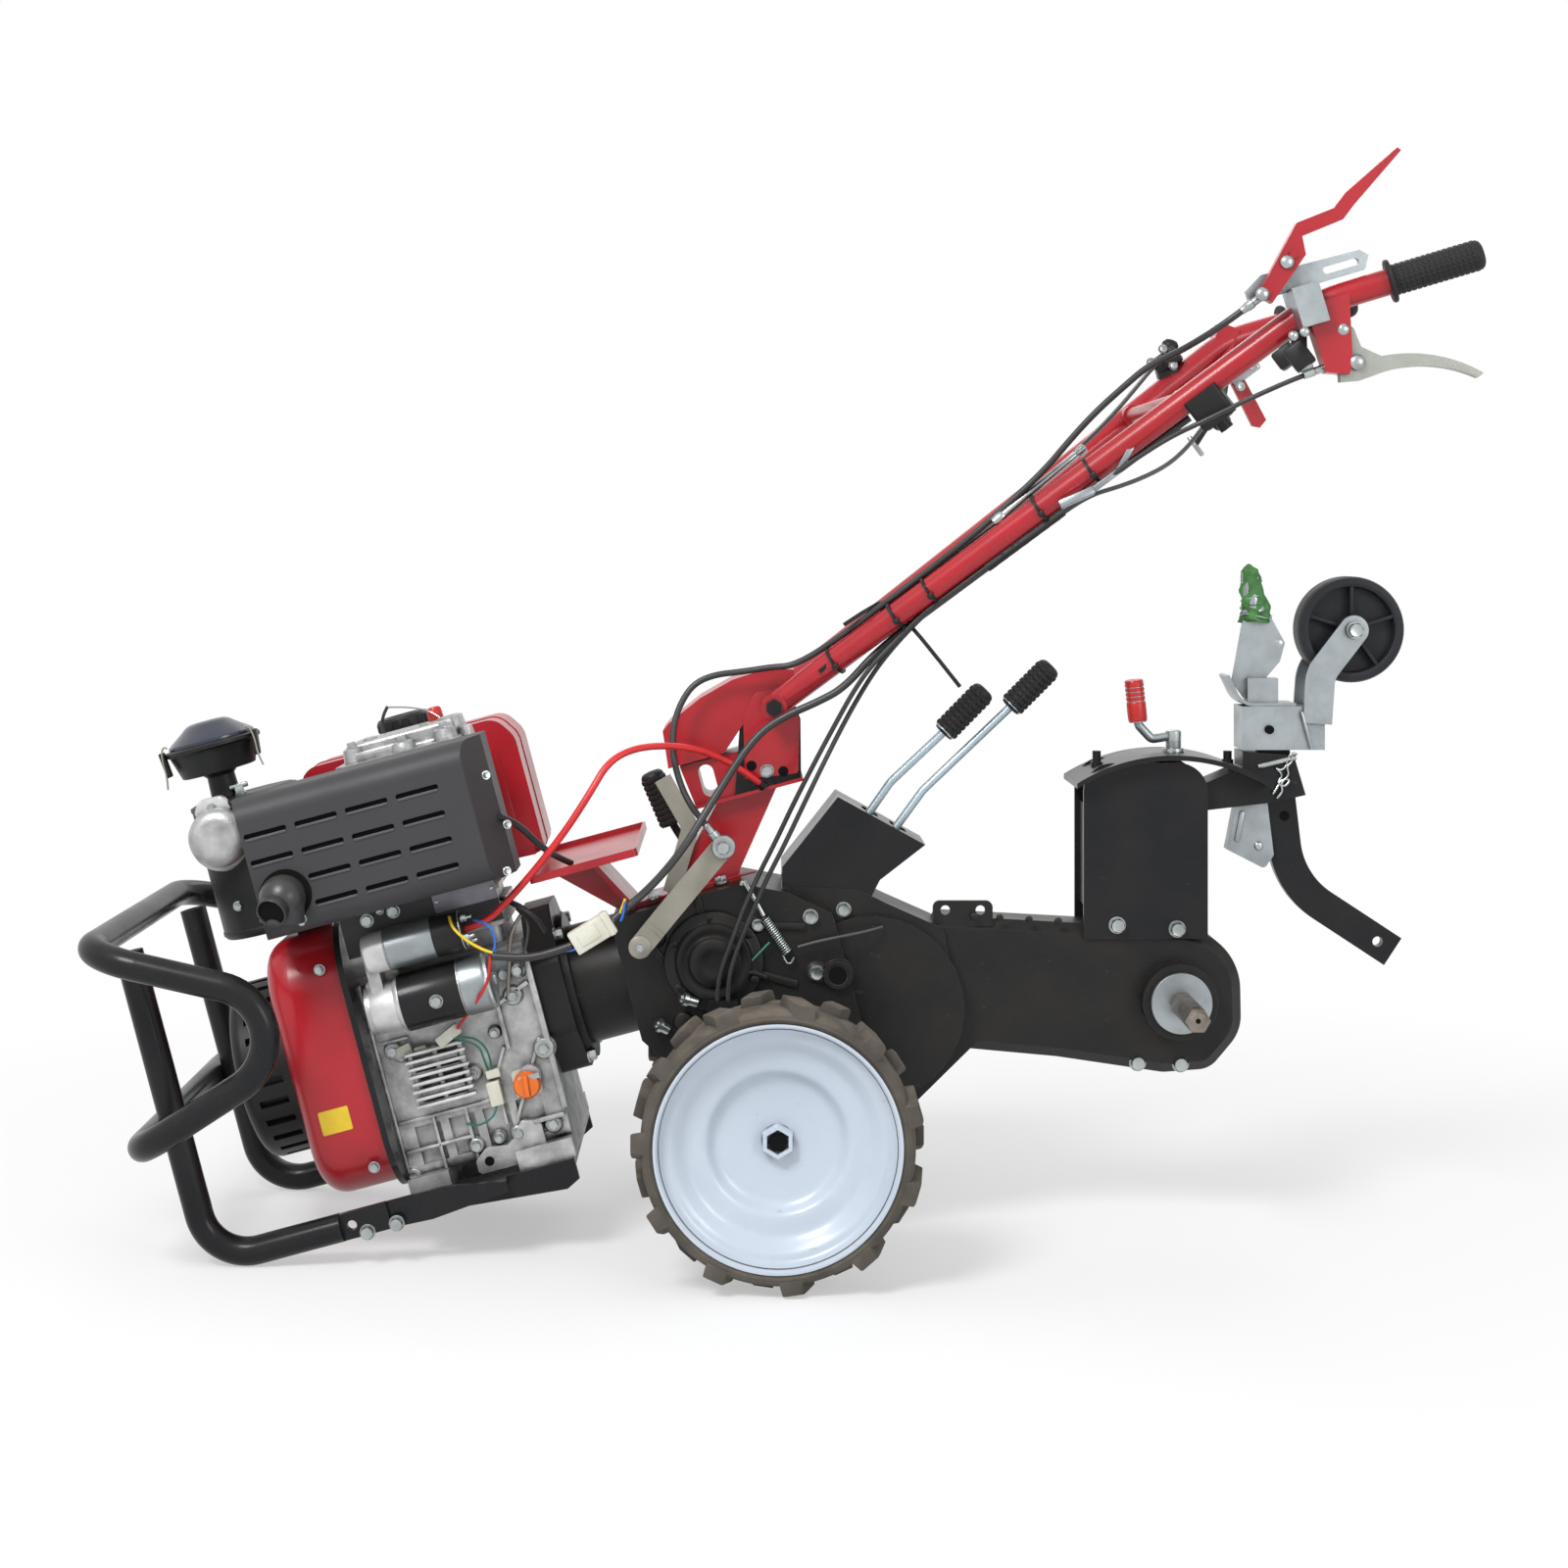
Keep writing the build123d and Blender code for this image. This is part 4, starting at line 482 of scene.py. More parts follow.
connector_foot = point(-227, -203, 364)
connector_run = Vector((46, 3, 28)) * 0.001
harness_places = [
    connector_foot + connector_run,
    *places_of(
        point, (-164, -197, 406), (-134, -175, 431), (-104, -146, 465), (-83, -129, 498), (-62, -119, 531),
        (-40, -113, 565), (-18, -108, 592), (9, -106, 610), (46, -109, 626), (78, -112, 643),
    ),
    *places_of(beside_bar, (0.18, 213, 21), (0.25, 213, 19.4)),
]
sleeve_places = places_of(point, (-314, -205, 353), (-283, -207, 350), (-252, -205, 355)) + [connector_foot]
bending(
    "wire_harness_sleeved",
    [routed("sleeve", sleeve_places, 0.009, cable_black), routed("harness", harness_places, 0.009, cable_black)],
    "wire_harness",
)

clevis = on_machine(20, -106, 307)
clevis_lift = Vector((-19, 0, 23)) * 0.001
clutch_places = [
    clevis + clevis_lift * 1.01, clevis + clevis_lift * 1.7,
    *places_of(
        point, (-105, -99, 521), (-114, -92, 545), (-119, -85, 571), (-118, -79, 599), (-109, -74, 625),
        (-94, -71, 646), (-70, -69, 656), (-40, -68, 659), (-2, -70, 665),
    ),
    *places_of(beside_bar, (0.06, 2, 25), (0.11, 1, 19.4), (0.16, 0, 18.8)),
]
bending(
    "clutch_cable_sleeved", [routed("clutch cable", clutch_places, 0.0075, cable_black)],
    "clutch_cable",
)

STEERING_PLACES = [
    places_of(
        point, (-67, -104, 284.3), (-67, -104, 304), (-60, -104, 329), (-51, -104, 353), (-39, -102, 386),
        (-21, -99, 426), (0, -99, 467), (21, -102, 512), (47, -106, 563), (70, -110, 606), (88, -114, 639),
        (107, -117, 667),
    ) + places_of(beside_bar, (0.23, 168, 22), (0.28, 168, 17.8)),
    places_of(
        point, (-55, -103, 284.3), (-55, -103, 306), (-49, -102, 331), (-40, -101, 355), (-28, -101, 384),
        (-11, -103, 423), (10, -107, 464), (32, -110, 511), (56, -107, 560), (78, -105, 603), (97, -106, 637),
        (117, -109, 669),
    ) + places_of(beside_bar, (0.235, 188, 22), (0.28, 188, 17.8)),
]
bending(
    "steering_cables_pair",
    [routed(f"steering cable {n}", places, 0.0055, cable_black) for n, places in enumerate(STEERING_PLACES)],
    "steering_cables",
)

lever_pin = point(524, -277, 1076.9)
barrel = Vector((-24, 5, -18)) * 0.001
BAR_CABLES = {
    "clutch_run": (0.0075, places_of(
        beside_bar, (0.1604, 0, 18.8), (0.23, 3, 19.0), (0.30, -3, 19.6), (0.37, 2, 20.2), (0.44, 0, 23),
    ) + places_of(
        point, (299, -159, 888), (328, -169, 924), (356, -177, 955), (384, -187, 981), (411, -199, 1005),
        (440, -218, 1018), (461, -250, 1031),
    ) + [lever_pin + barrel * 1.8, lever_pin + barrel]),
    "throttle_run": (0.0055, places_of(
        beside_bar, (0.22, -26, 17.8), (0.30, -30, 17.8), (0.38, -26, 18.2), (0.45, -40, 24),
    ) + places_of(
        point, (310, -120, 880), (345, -70, 912), (382, -15, 942), (416, 48, 972), (446, 110, 1000),
        (472, 170, 1024), (493, 216, 1040),
    )),
    "left_steering_run": (0.0055, places_of(
        beside_bar, (0.2804, 168, 17.8), (0.36, 166, 17.8), (0.44, 169, 18), (0.51, 167, 18.6), (0.57, 165, 19),
    ) + places_of(
        point, (366, -199, 880), (397, -214, 903), (430, -233, 925), (461, -248, 940), (497, -254, 958),
        (533, -261, 975), (565.5, -266, 988.9), (588.3, -266, 996.5),
    )),
    "right_steering_run": (0.0055, places_of(
        beside_bar, (0.2804, 188, 17.8), (0.36, 190, 17.8), (0.44, 187, 18), (0.52, 191, 18.6),
    ) + places_of(
        point, (352, -150, 862), (390, -105, 872), (428, -50, 884), (466, 10, 900), (500, 75, 922),
        (530, 140, 948), (556, 196, 975), (576, 240, 998),
    )),
    "harness_run": (0.009, places_of(beside_bar, (0.2504, 213, 19.4), (0.5, 213, 19.4), (0.76, 213, 19.4))),
}
for name, (diameter, places) in BAR_CABLES.items():
    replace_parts(routed(name, places, diameter, cable_black, "handlebar"), "handlebar_cables")


# ---------------------------------------------------------------- kits: which pieces there are
KITS = [  # material, slot, body, pieces
    (bright_zinc, "zinc", "chassis", "chassis_bolts solenoid_terminals crankcase_screws muffler_screws shroud_screws "
     "rocker_cover_screws blank_engine_plate_rivets gearbox_screws column_screws clutch_clevis crank_hub "
     "rear_fittings"),
    (bright_zinc, "zinc", "handlebar", "handle_rivets clutch_cable_end"),
    (zinc_plate, "zinc", "chassis", "starter_zinc_cans latch_pressing"),
    (zinc_plate, "zinc", "tine_shaft", "tine_shaft_discs"),
    (zinc_plate, "zinc", "handlebar", "far_lever_mount far_zinc_tab far_lever_bracket bar_strap_clip"),
    (dull_steel, "zinc", "chassis", "clutch_arm_boss"),
    (net_green, "zinc", "chassis", "latch_handle_sleeve"),
    (pale_alloy, "cast_alloy", "chassis", "starter_castings regulator_fins intake_elbow"),
    (cast_alloy, "cast_alloy", "chassis", "crankcase_fittings rocker_cover_castings"),
    (plug_white, "cast_alloy", "chassis", "oil_filler_plate white_wire_plugs harness_connector"),
    (plate_grey, "cast_alloy", "chassis", "blank_engine_plate"),
    (red_paint, "red_paint", "chassis", "fuel_tank_pressed fuel_tank_brackets yoke_side_plate column_welds"),
    (red_paint, "red_paint", "handlebar", "far_red_tab"),
    (knob_red, "red_paint", "chassis", "decompression_plug crank_grip"),
    (cap_orange, "red_paint", "chassis", "oil_filler_cap"),
    (label_yellow, "red_paint", "chassis", "blank_caution_label"),
    (black_paint, "black_paint", "chassis", "starter_black_parts"),
    (black_paint, "black_paint", "handlebar", "far_control_bracket far_switch_stem far_zinc_tab_arm near_switch_stem"),
    (case_paint, "black_paint", "chassis", "gearbox_bearing_caps gearbox_castings chain_case_seams"),
    # Painted shade: dark discs and rings in holes, bores, hub sockets, muffler slots and the exhaust's mouth.
    (shade_black, "black_paint", "chassis", "dark_holes gearbox_open_bore"),
    (shade_black, "black_paint", "wheel_left", "left_hub_socket"),
    (shade_black, "black_paint", "wheel_right", "right_hub_socket"),
    (shade_black, "heat_black", "chassis", "muffler_slot_shadows exhaust_throat exhaust_recess"),
    (dark_steel, "heat_black", "chassis", "muffler_lip_highlights"),
    (exhaust_black, "heat_black", "chassis", "exhaust_outlet"),
    (black_plastic, "black_plastic", "chassis", "solenoid_end_cap air_filter_bands pre_cleaner_bowl "
     "pre_cleaner_latches fuel_filler_cap"),
    (black_plastic, "black_plastic", "handlebar", "left_bar_switch_block throttle_block far_control_box "
     "far_control_lobe far_switch_box throttle_foot throttle_knob cable_ties"),
    (cover_plastic, "black_plastic", "chassis", "pre_cleaner_dome"),
    (wheel_plastic, "black_plastic", "tail_wheel", "tail_wheel_moulded"),
    (grip_rubber, "grip_rubber", "chassis", "shift_knobs"),
    (grip_rubber, "grip_rubber", "handlebar", "grip_left_ribbed grip_right_ribbed"),
    (tyre_rubber, "tyre_rubber", "wheel_left", "left_tyre_moulded"),
    (tyre_rubber, "tyre_rubber", "wheel_right", "right_tyre_moulded"),
    (rim_paint, "rim_paint", "wheel_left", "left_rim_pressed"),
    (rim_paint, "rim_paint", "wheel_right", "right_rim_pressed"),
    (dull_steel, "rim_paint", "wheel_left", "left_half_axle"),
    (dull_steel, "rim_paint", "wheel_right", "right_half_axle"),
    (shaft_steel, "rim_paint", "tine_shaft", "tine_shaft_ends"),
    (shade_black, "rim_paint", "tine_shaft", "tine_shaft_centre_shades"),
]
REPLACED_NODES = {
    "left_tyre_moulded": "tyre_left", "right_tyre_moulded": "tyre_right", "left_rim_pressed": "rim_left",
    "right_rim_pressed": "rim_right", "left_half_axle": "rim_left", "right_half_axle": "rim_right",
    "pre_cleaner_bowl": "pre_cleaner", "pre_cleaner_dome": "pre_cleaner", "fuel_tank_pressed": "fuel_tank",
    "tail_wheel_moulded": "tail_wheel", "grip_left_ribbed": "grip_left", "grip_right_ribbed": "grip_right",
}
SMOOTH_BELOW = {"fuel_tank_pressed": 50, "latch_handle_sleeve": 80}  # degrees; 35 for the others
kits = {name: bmesh.new() for *_, names in KITS for name in names.split()}


# ---------------------------------------------------------------- mesh tools
def turn_to(axis):
    """Rotation that takes the up direction to an axis."""
    return Vector(axis).to_track_quat("Z", "Y").to_matrix()


def add_ring(work, foot, turn, height, spokes):
    """Ring of vertices at a height along a turned axis, from (radius, angle) in millimetres and radians."""
    return [
        work.verts.new(foot + turn @ point(radius * math.cos(angle), radius * math.sin(angle), height))
        for radius, angle in spokes
    ]


def join_rings(work, rings, closed=False):
    """Skin between rings of one count, and from the last to the first if it is closed."""
    for low, high in zip(rings, rings[1:] + (rings[:1] if closed else [])):
        for n in range(len(low)):
            work.faces.new((low[n - 1], low[n], high[n], high[n - 1]))


def add_turned(name, profile, foot, axis, sides=32):
    """Turned solid: a profile of (height, radius) in millimetres about an axis, closed at both ends."""
    work = kits[name]
    turn = turn_to(axis)
    angles = [2 * math.pi * n / sides for n in range(sides)]
    rings = [add_ring(work, foot, turn, height, [(radius, angle) for angle in angles]) for height, radius in profile]
    join_rings(work, rings)
    work.faces.new(reversed(rings[0]))
    work.faces.new(rings[-1])


def add_block(name, centre, size, along=RIGHT, up=Vector((0, 0, 1)), edge=1.0):
    """Block with eased edges, in millimetres: its size is along, across and up."""
    work = kits[name]
    along = Vector(along).normalized()
    up = (Vector(up) - along * Vector(up).dot(along)).normalized()
    frame_of = Matrix((along, up.cross(along), up)).transposed().to_4x4()
    move = Matrix.Translation(centre) @ frame_of @ Matrix.Diagonal((*(Vector(size) * 0.001), 1))
    made = bmesh.ops.create_cube(work, size=1.0, matrix=move)
    edges = {e for v in made["verts"] for e in v.link_edges}
    bmesh.ops.bevel(work, geom=list(edges), offset=edge * 0.001, segments=2, affect="EDGES", profile=0.5)


def add_bar(name, start, end, width, thick, up, edge, spare=0.0):
    """Block that runs from one place to another, longer by the spare."""
    run = end - start
    add_block(name, (start + end) / 2, (run.length * 1000 + spare, width, thick), run, up, edge)


def add_bolt(name, place, axis, flats=14.0, head=6.0, washer=1.5):
    """Hexagon bolt head on a washer, with a chamfered top and a shallow crown."""
    work = kits[name]
    if washer:
        rim = flats * 0.62 + 1.0
        add_turned(name, [(-0.5, rim), (washer - 0.3, rim), (washer, rim - 0.3)], place, axis, 24)
    corner = flats / math.sqrt(3)
    angles = [math.radians(30 * n + 11) for n in range(12)]
    hexagon = [(flats / 2 if n % 2 else corner, angle) for n, angle in enumerate(angles)]
    levels = [(0, hexagon), (0.82, hexagon)]
    levels += [(up, [(corner * share, angle) for angle in angles]) for up, share in ((1, 0.86), (0.93, 0.55))]
    rings = [add_ring(work, place, turn_to(axis), washer + head * up, spokes) for up, spokes in levels]
    join_rings(work, rings)
    work.faces.new(rings[-1])


def rounded(*corners, steps=6):
    """Flat outline through corners of (forward, height, radius), with round turns."""
    outline = []
    for n, (forward, height, radius) in enumerate(corners):
        here = Vector((forward, height))
        to_before = (Vector(corners[n - 1][:2]) - here).normalized()
        to_after = (Vector(corners[(n + 1) % len(corners)][:2]) - here).normalized()
        half = to_before.angle(to_after) / 2
        middle = here + (to_before + to_after).normalized() * (radius / math.sin(half))
        start = here + to_before * (radius / math.tan(half)) - middle
        turn = math.copysign(math.pi - 2 * half, -(to_before.x * to_after.y - to_before.y * to_after.x))
        for k in range(steps + 1):
            cos, sin = math.cos(turn * k / steps), math.sin(turn * k / steps)
            outline.append(middle + Vector((start.x * cos - start.y * sin, start.x * sin + start.y * cos)))
    return outline


def add_prism(name, outline, near, far, ease=1.0, segments=2):
    """Plate or block of one outline on the machine between two places across, with eased rims."""
    work = kits[name]
    low = [work.verts.new(on_machine(forward, near, height)) for forward, height in outline]
    high = [work.verts.new(on_machine(forward, far, height)) for forward, height in outline]
    caps = [work.faces.new(low), work.faces.new(list(reversed(high)))]
    for n in range(len(outline)):
        work.faces.new((low[n - 1], low[n], high[n], high[n - 1]))
    if ease:
        rims = list({edge for cap in caps for edge in cap.edges})
        bmesh.ops.bevel(
            work, geom=rims, offset=ease * 0.001, segments=segments, affect="EDGES", profile=0.5, clamp_overlap=True
        )


def add_knurled(name, foot, axis, length, radius, rows, columns, groove=1.2):
    """Rubber handle with rows of raised pads and a round nose, in millimetres."""
    work = kits[name]
    turn = turn_to(axis)
    pitch = (length - 9) / rows
    levels = [(0, 0.84, 0), (1.4, 0.97, 0)]
    for row in range(rows):
        start = 2 + row * pitch
        levels += [(start + pitch * part, 1, raised) for part, raised in ((0, 0), (0.14, 1), (0.74, 1), (0.88, 0))]
    levels += [(length - 5.5, 1, 0), (length - 2.4, 0.88, 0), (length - 0.6, 0.66, 0), (length, 0.36, 0)]
    pads = [
        (2 * math.pi * (n + part) / columns, pad)
        for n in range(columns) for part, pad in ((0, 0), (0.14, 1), (0.76, 1), (0.9, 0))
    ]
    rings = []
    for level, share, raised in levels:
        spokes = [(radius * share - (0 if raised and pad else groove), angle) for angle, pad in pads]
        rings.append(add_ring(work, foot, turn, level, spokes))
    join_rings(work, rings)
    work.faces.new(reversed(rings[0]))
    work.faces.new(rings[-1])


# ---------------------------------------------------------------- wheels
WHEEL_OFFSET = 255.0
LUGS_A_ROW = 11
STAGGER = 180.0 / LUGS_A_ROW


def wheel_place(side, out, radius, angle):
    """Place on a wheel: out from its middle, at a radius and an angle about the axle."""
    return point(radius * math.sin(angle), side * (WHEEL_OFFSET + out), AXLE_HEIGHT - radius * math.cos(angle))


def add_wheel_turned(name, side, profile, steps=128):
    """Closed ring turned about the axle from a loop of (out, radius)."""
    turns = [2 * math.pi * n / steps for n in range(steps)]
    rings = [[kits[name].verts.new(wheel_place(side, out, radius, turn)) for out, radius in profile] for turn in turns]
    join_rings(kits[name], rings, closed=True)


def lug_mesh(row):
    """Tread lug of one row, leaning and tapered outward, in millimetres from the wheel's middle."""
    lug = bmesh.new()
    base, top = [], []
    for step in range(7):
        share = step / 6
        out = 1.0 + share * 38.2
        lean = 7.0 - 14.0 * share
        drop = max(0, share - 0.8) * 5.0
        for verts, radius, half in ((base, 143.5 - 3.0 * drop, 13.2), (top, 158.6 - 2.2 * drop, 10.8)):
            verts += [lug.verts.new((lean + offset, row * out, -radius)) for offset in (-half, half)]
    for k in range(0, 12, 2):
        lug.faces.new((base[k], base[k + 1], base[k + 3], base[k + 2]))
        lug.faces.new((top[k + 2], top[k + 3], top[k + 1], top[k]))
        lug.faces.new((base[k], base[k + 2], top[k + 2], top[k]))
        lug.faces.new((base[k + 1], top[k + 1], top[k + 3], base[k + 3]))
    lug.faces.new((base[0], top[0], top[1], base[1]))
    lug.faces.new((base[12], base[13], top[13], top[12]))
    bmesh.ops.recalc_face_normals(lug, faces=lug.faces)
    sharp = [e for e in lug.edges if e.calc_face_angle(0) > 0.6]
    bmesh.ops.bevel(lug, geom=sharp, offset=1.3, segments=2, affect="EDGES", profile=0.6)
    mesh = bpy.data.meshes.new("lug")
    lug.to_mesh(mesh)
    lug.free()
    return mesh


CARCASS = [
    (34.5, 128), (36.5, 132), (38.3, 137.2), (39.4, 138.2), (39.6, 140), (38.9, 141), (39.0, 142.4), (38.2, 144.2),
    (35.5, 146.4), (31, 147.8), (20, 148.6),
]


def make_tyre(side, name):
    """Smooth carcass with two staggered rows of lugs."""
    add_wheel_turned(name, side, CARCASS + [(0, 148.9)] + [(-out, radius) for out, radius in reversed(CARCASS)])
    middle = Matrix.Translation(wheel_place(side, 0, 0, 0))
    for row in (1, -1):
        mesh = lug_mesh(row)
        for n in range(LUGS_A_ROW):
            turn = Matrix.Rotation(math.radians(row * STAGGER / 2 - n * 2 * STAGGER), 4, "Y")
            count = len(kits[name].verts)
            kits[name].from_mesh(mesh)
            kits[name].verts.ensure_lookup_table()
            seat = middle @ turn @ Matrix.Diagonal((0.001, 0.001, 0.001, 1))
            bmesh.ops.transform(kits[name], matrix=seat, verts=kits[name].verts[count:])
        bpy.data.meshes.remove(mesh)


RIM_FACE = [
    (39.0, 134.4), (39.4, 133.0), (38.8, 131.2), (34, 128.4), (29, 125.6), (26.4, 123.4), (25.2, 121), (24.6, 118.4),
    (23.4, 115.2), (20.6, 111.6), (16.8, 107.4), (13.4, 103.6), (11.0, 100.2), (9.9, 96.6), (9.4, 90), (8.9, 83.2),
    (8.1, 79.4), (5.9, 76.4), (2.0, 73.2), (-1.4, 70.0), (-3.6, 66.6), (-4.6, 62), (-5.6, 52), (-6.6, 40), (-7.4, 29),
    (-7.6, 17.5),
]
RIM_BARREL = [
    (18, 124.8), (0, 126.4), (-18, 124.8), (-30, 126.4), (-36, 128.6), (-39.3, 131.4), (-39.4, 134.2), (-37.2, 134.6),
    (-36.2, 129.6), (-30, 128.0), (-18, 126.8), (0, 127.4), (30, 127.8), (36.6, 130.2),
]
RIM_SHEET = 3.0


def make_rim(side, name):
    """Pressed disc and barrel with a hexagon hub, and the half axle behind it."""
    rim, axle = f"{name}_rim_pressed", f"{name}_half_axle"
    back = [(out - RIM_SHEET, radius) for out, radius in reversed(RIM_FACE[5:])]
    add_wheel_turned(rim, side, RIM_FACE + back + RIM_BARREL)
    middle = wheel_place(side, 0, 0, 0)
    outward = Vector((0, side, 0))
    rings = []
    for height, flats in ((-8.5, 33), (3.6, 33), (5.0, 31.2), (4.8, 23.6), (-24, 22.8)):
        spokes = [(flats / math.sqrt(3), math.radians(60 * n + 30)) for n in range(6)]
        rings.append(add_ring(kits[rim], middle, turn_to(outward), height, spokes))
    join_rings(kits[rim], rings)
    kits[rim].faces.new(rings[-1])
    add_turned(rim, [(-65, 17), (-64, 18), (-10, 18), (-9, 17)], middle, outward)
    add_turned(rim, [(-20, 20), (-19.5, 27), (-12, 27), (-11, 24)], middle, outward)
    for n in range(3):
        add_bolt(rim, wheel_place(side, -13, 22.4, math.radians(17 + 120 * n)), -outward, 6, 3, 0)
    add_turned(axle, [(-189.0, 14.9), (-102, 14.9), (-101.5, 14.9), (-101, 12.6), (-64, 12.6)], middle, outward, 24)
    add_turned(axle, [(-105.2, 19), (-104.8, 20), (-99.4, 20), (-99, 19)], middle, outward, 24)


for side, name in ((-1, "left"), (1, "right")):
    make_tyre(side, f"{name}_tyre_moulded")
    make_rim(side, name)
    # Dark hexagon in the hub's socket: painted shade.
    add_turned(f"{name}_hub_socket", [(0, 11.3), (0.4, 11.3)], wheel_place(side, 1.5, 0, 0), RIGHT * side, 6)


# ---------------------------------------------------------------- bolts
CHASSIS_BOLTS = [  # kind of place, axis, and rows of place, flats and head
    (on_machine, TOWARDS, [
        (95, -75, 199, 15, 7), (134, -48, 193, 15, 7), (86, -75, 135, 13, 6), (89, -46, 372, 13, 6),
        (-260, -105, 231, 13, 6), (-473, -169, 1, 15, 7), (-439, -169, 2, 15, 7), (-102, -105.5, 220, 9, 3),
        (-330, -183, 232, 13, 4), (-402, -150, 262, 10, 4),
    ]),
    (on_machine, RIGHT, [
        (-473, 169, 1, 15, 7), (-439, 169, 2, 15, 7), (-300, 105, 200, 12, 6), (-405, 105, 200, 12, 6),
        (-260, 105, 80, 12, 6),
    ]),
    (on_machine, ALONG, [
        (-197, -64, 254, 14, 8), (-197, -50, 106, 14, 8), (-197, 64, 254, 14, 8), (-197, 50, 106, 14, 8),
    ]),
    (point, TOWARDS, [
        (399, -43, 362, 17, 8), (469, -43, 357.5, 17, 8), (424, -35, 200, 17, 7), (474, -35, 198.6, 17, 7),
    ]),
]
HEAD_SHARE = 0.86
for where, axis, bolts in CHASSIS_BOLTS:
    for *place, flats, head in bolts:
        add_bolt("chassis_bolts", where(*place), axis, flats * HEAD_SHARE, head)


def add_screws(name, axis, flats, head, washer, *places):
    """Screws of one size and direction at places on the machine."""
    for place in places_of(on_machine, *places):
        add_bolt(name, place, axis, flats, head, washer)


# ---------------------------------------------------------------- starter, solenoid and alternator regulator
SOLENOID = (-162, 299)
STARTER = (-150, 235)
add_turned(
    "starter_castings", [(0, 15), (0.5, 18), (3, 21.5), (8, 22.6), (26, 23.0), (27.5, 21)],
    on_machine(-398.5, *SOLENOID), ALONG, 40,
)
add_turned(
    "starter_castings", [(0, 13), (1, 20), (4, 25), (8, 27.2), (35, 28.4), (38, 31), (40.5, 31.6), (41.5, 30)],
    on_machine(-412, *STARTER), ALONG, 48,
)
add_turned(
    "starter_zinc_cans", [(0, 21), (0.4, 22.6), (1.4, 23.4), (54, 23.4), (55.4, 22.6), (56, 20)],
    on_machine(-371.2, *SOLENOID), ALONG, 48,
)
add_turned(
    "starter_zinc_cans",
    [(0, 30), (0.6, 32.4), (1.6, 33.2), (27, 33.2), (31, 32), (34.5, 28.5), (36, 23), (36.6, 8), (39, 7.6), (39.4, 3)],
    on_machine(-302, *STARTER), ALONG, 48,
)
add_turned(
    "starter_black_parts", [(0, 29), (0.5, 31.6), (1.8, 32.6), (68, 32.6), (70, 31.6)],
    on_machine(-372, *STARTER), ALONG, 48,
)
add_turned(
    "solenoid_end_cap", [(0, 20), (0.4, 23.2), (16, 23.0), (31.4, 22.6), (34.4, 20.5), (35.4, 15), (35.6, 4)],
    on_machine(-317.4, *SOLENOID), ALONG, 40,
)
for across, height in ((-180, 292), (-168, 312), (-168, 285)):
    terminal = on_machine(-281.6, across, height)
    add_bolt("solenoid_terminals", terminal, ALONG, 7, 5, 0.6)
    add_turned("solenoid_terminals", [(0, 2.2), (11, 2.2), (11.6, 1.6)], terminal, ALONG, 12)

CRANKCASE_FACE = -105
ROUND_BOSSES = [  # forward, height, radius, reach
    (-321.6, 131.4, 9, 9), (-396.4, 173.1, 9, 8), (-237, 138, 12, 8), (-249, 51.6, 10, 6), (-404, 180, 10, 12),
    (-256, 205, 11, 7), (-243, 232, 9, 10), (-418, 36, 8, 5), (-340, 50, 9, 6), (-290, 52, 9, 6), (-313, 52, 7, 6),
    (-412, 252, 8, 6), (-287, 170, 7, 9),
]
for forward, height, radius, reach in ROUND_BOSSES:
    boss = [(-2, radius + 2), (0, radius + 1.4), (1.5, radius), (reach - 1, radius - 0.6), (reach, radius - 1.8)]
    add_turned("crankcase_fittings", boss, on_machine(forward, CRANKCASE_FACE, height), TOWARDS, 24)
    top = on_machine(forward, CRANKCASE_FACE - reach, height)
    add_bolt("crankcase_screws", top, TOWARDS, min(10, radius * 1.1), 4, 0.8)
RIBS = [  # forward and height of both ends, width, reach
    (-424, 34, -424, 258, 6, 5), (-231, 70, -231, 250, 7, 6), (-418, 96, -300, 96, 4, 4), (-418, 62, -345, 62, 4, 4),
    (-300, 66, -300, 98, 4, 4), (-380, 36, -380, 94, 4, 4), (-342, 36, -342, 94, 4, 4), (-288, 66, -240, 150, 4, 5),
    (-276, 150, -276, 200, 5, 6), (-276, 200, -238, 215, 5, 6), (-416, 190, -386, 190, 4, 6),
    (-268, 60, -236, 60, 5, 7), (-300, 118, -282, 150, 4, 6),
]
for low_forward, low, high_forward, high, width, reach in RIBS:
    across = CRANKCASE_FACE - reach / 2
    start, end = on_machine(low_forward, across, low), on_machine(high_forward, across, high)
    add_bar("crankcase_fittings", start, end, width, reach + 2, TOWARDS, 1.2, spare=width)
foot = rounded(
    (-345, 18, 3), (-262, 18, 3), (-262, 60, 6), (-284, 66, 6), (-300, 42, 8), (-330, 46, 8), (-345, 34, 5)
)
add_prism("crankcase_fittings", foot, -112, -103, 1.5)
# Dark disc in the hole of the crankcase foot: painted shade.
add_turned("dark_holes", [(0, 5.5), (0.4, 5.5)], on_machine(-330, -112.05, 30), TOWARDS, 24)
add_block("crankcase_fittings", on_machine(-424, -107, 146), (224, 5, 8), UP, TOWARDS, 1.5)
for fin in range(8):
    size = (70 - 3 * (fin % 2), 3.6, 13)
    add_block("regulator_fins", on_machine(-356, -127, 113 + 8.6 * fin), size, ALONG, TOWARDS, 1.0)
for forward in (-385, -356, -327):
    add_block("regulator_fins", on_machine(forward, -122, 143), (66, 5, 8), UP, TOWARDS, 1.0)

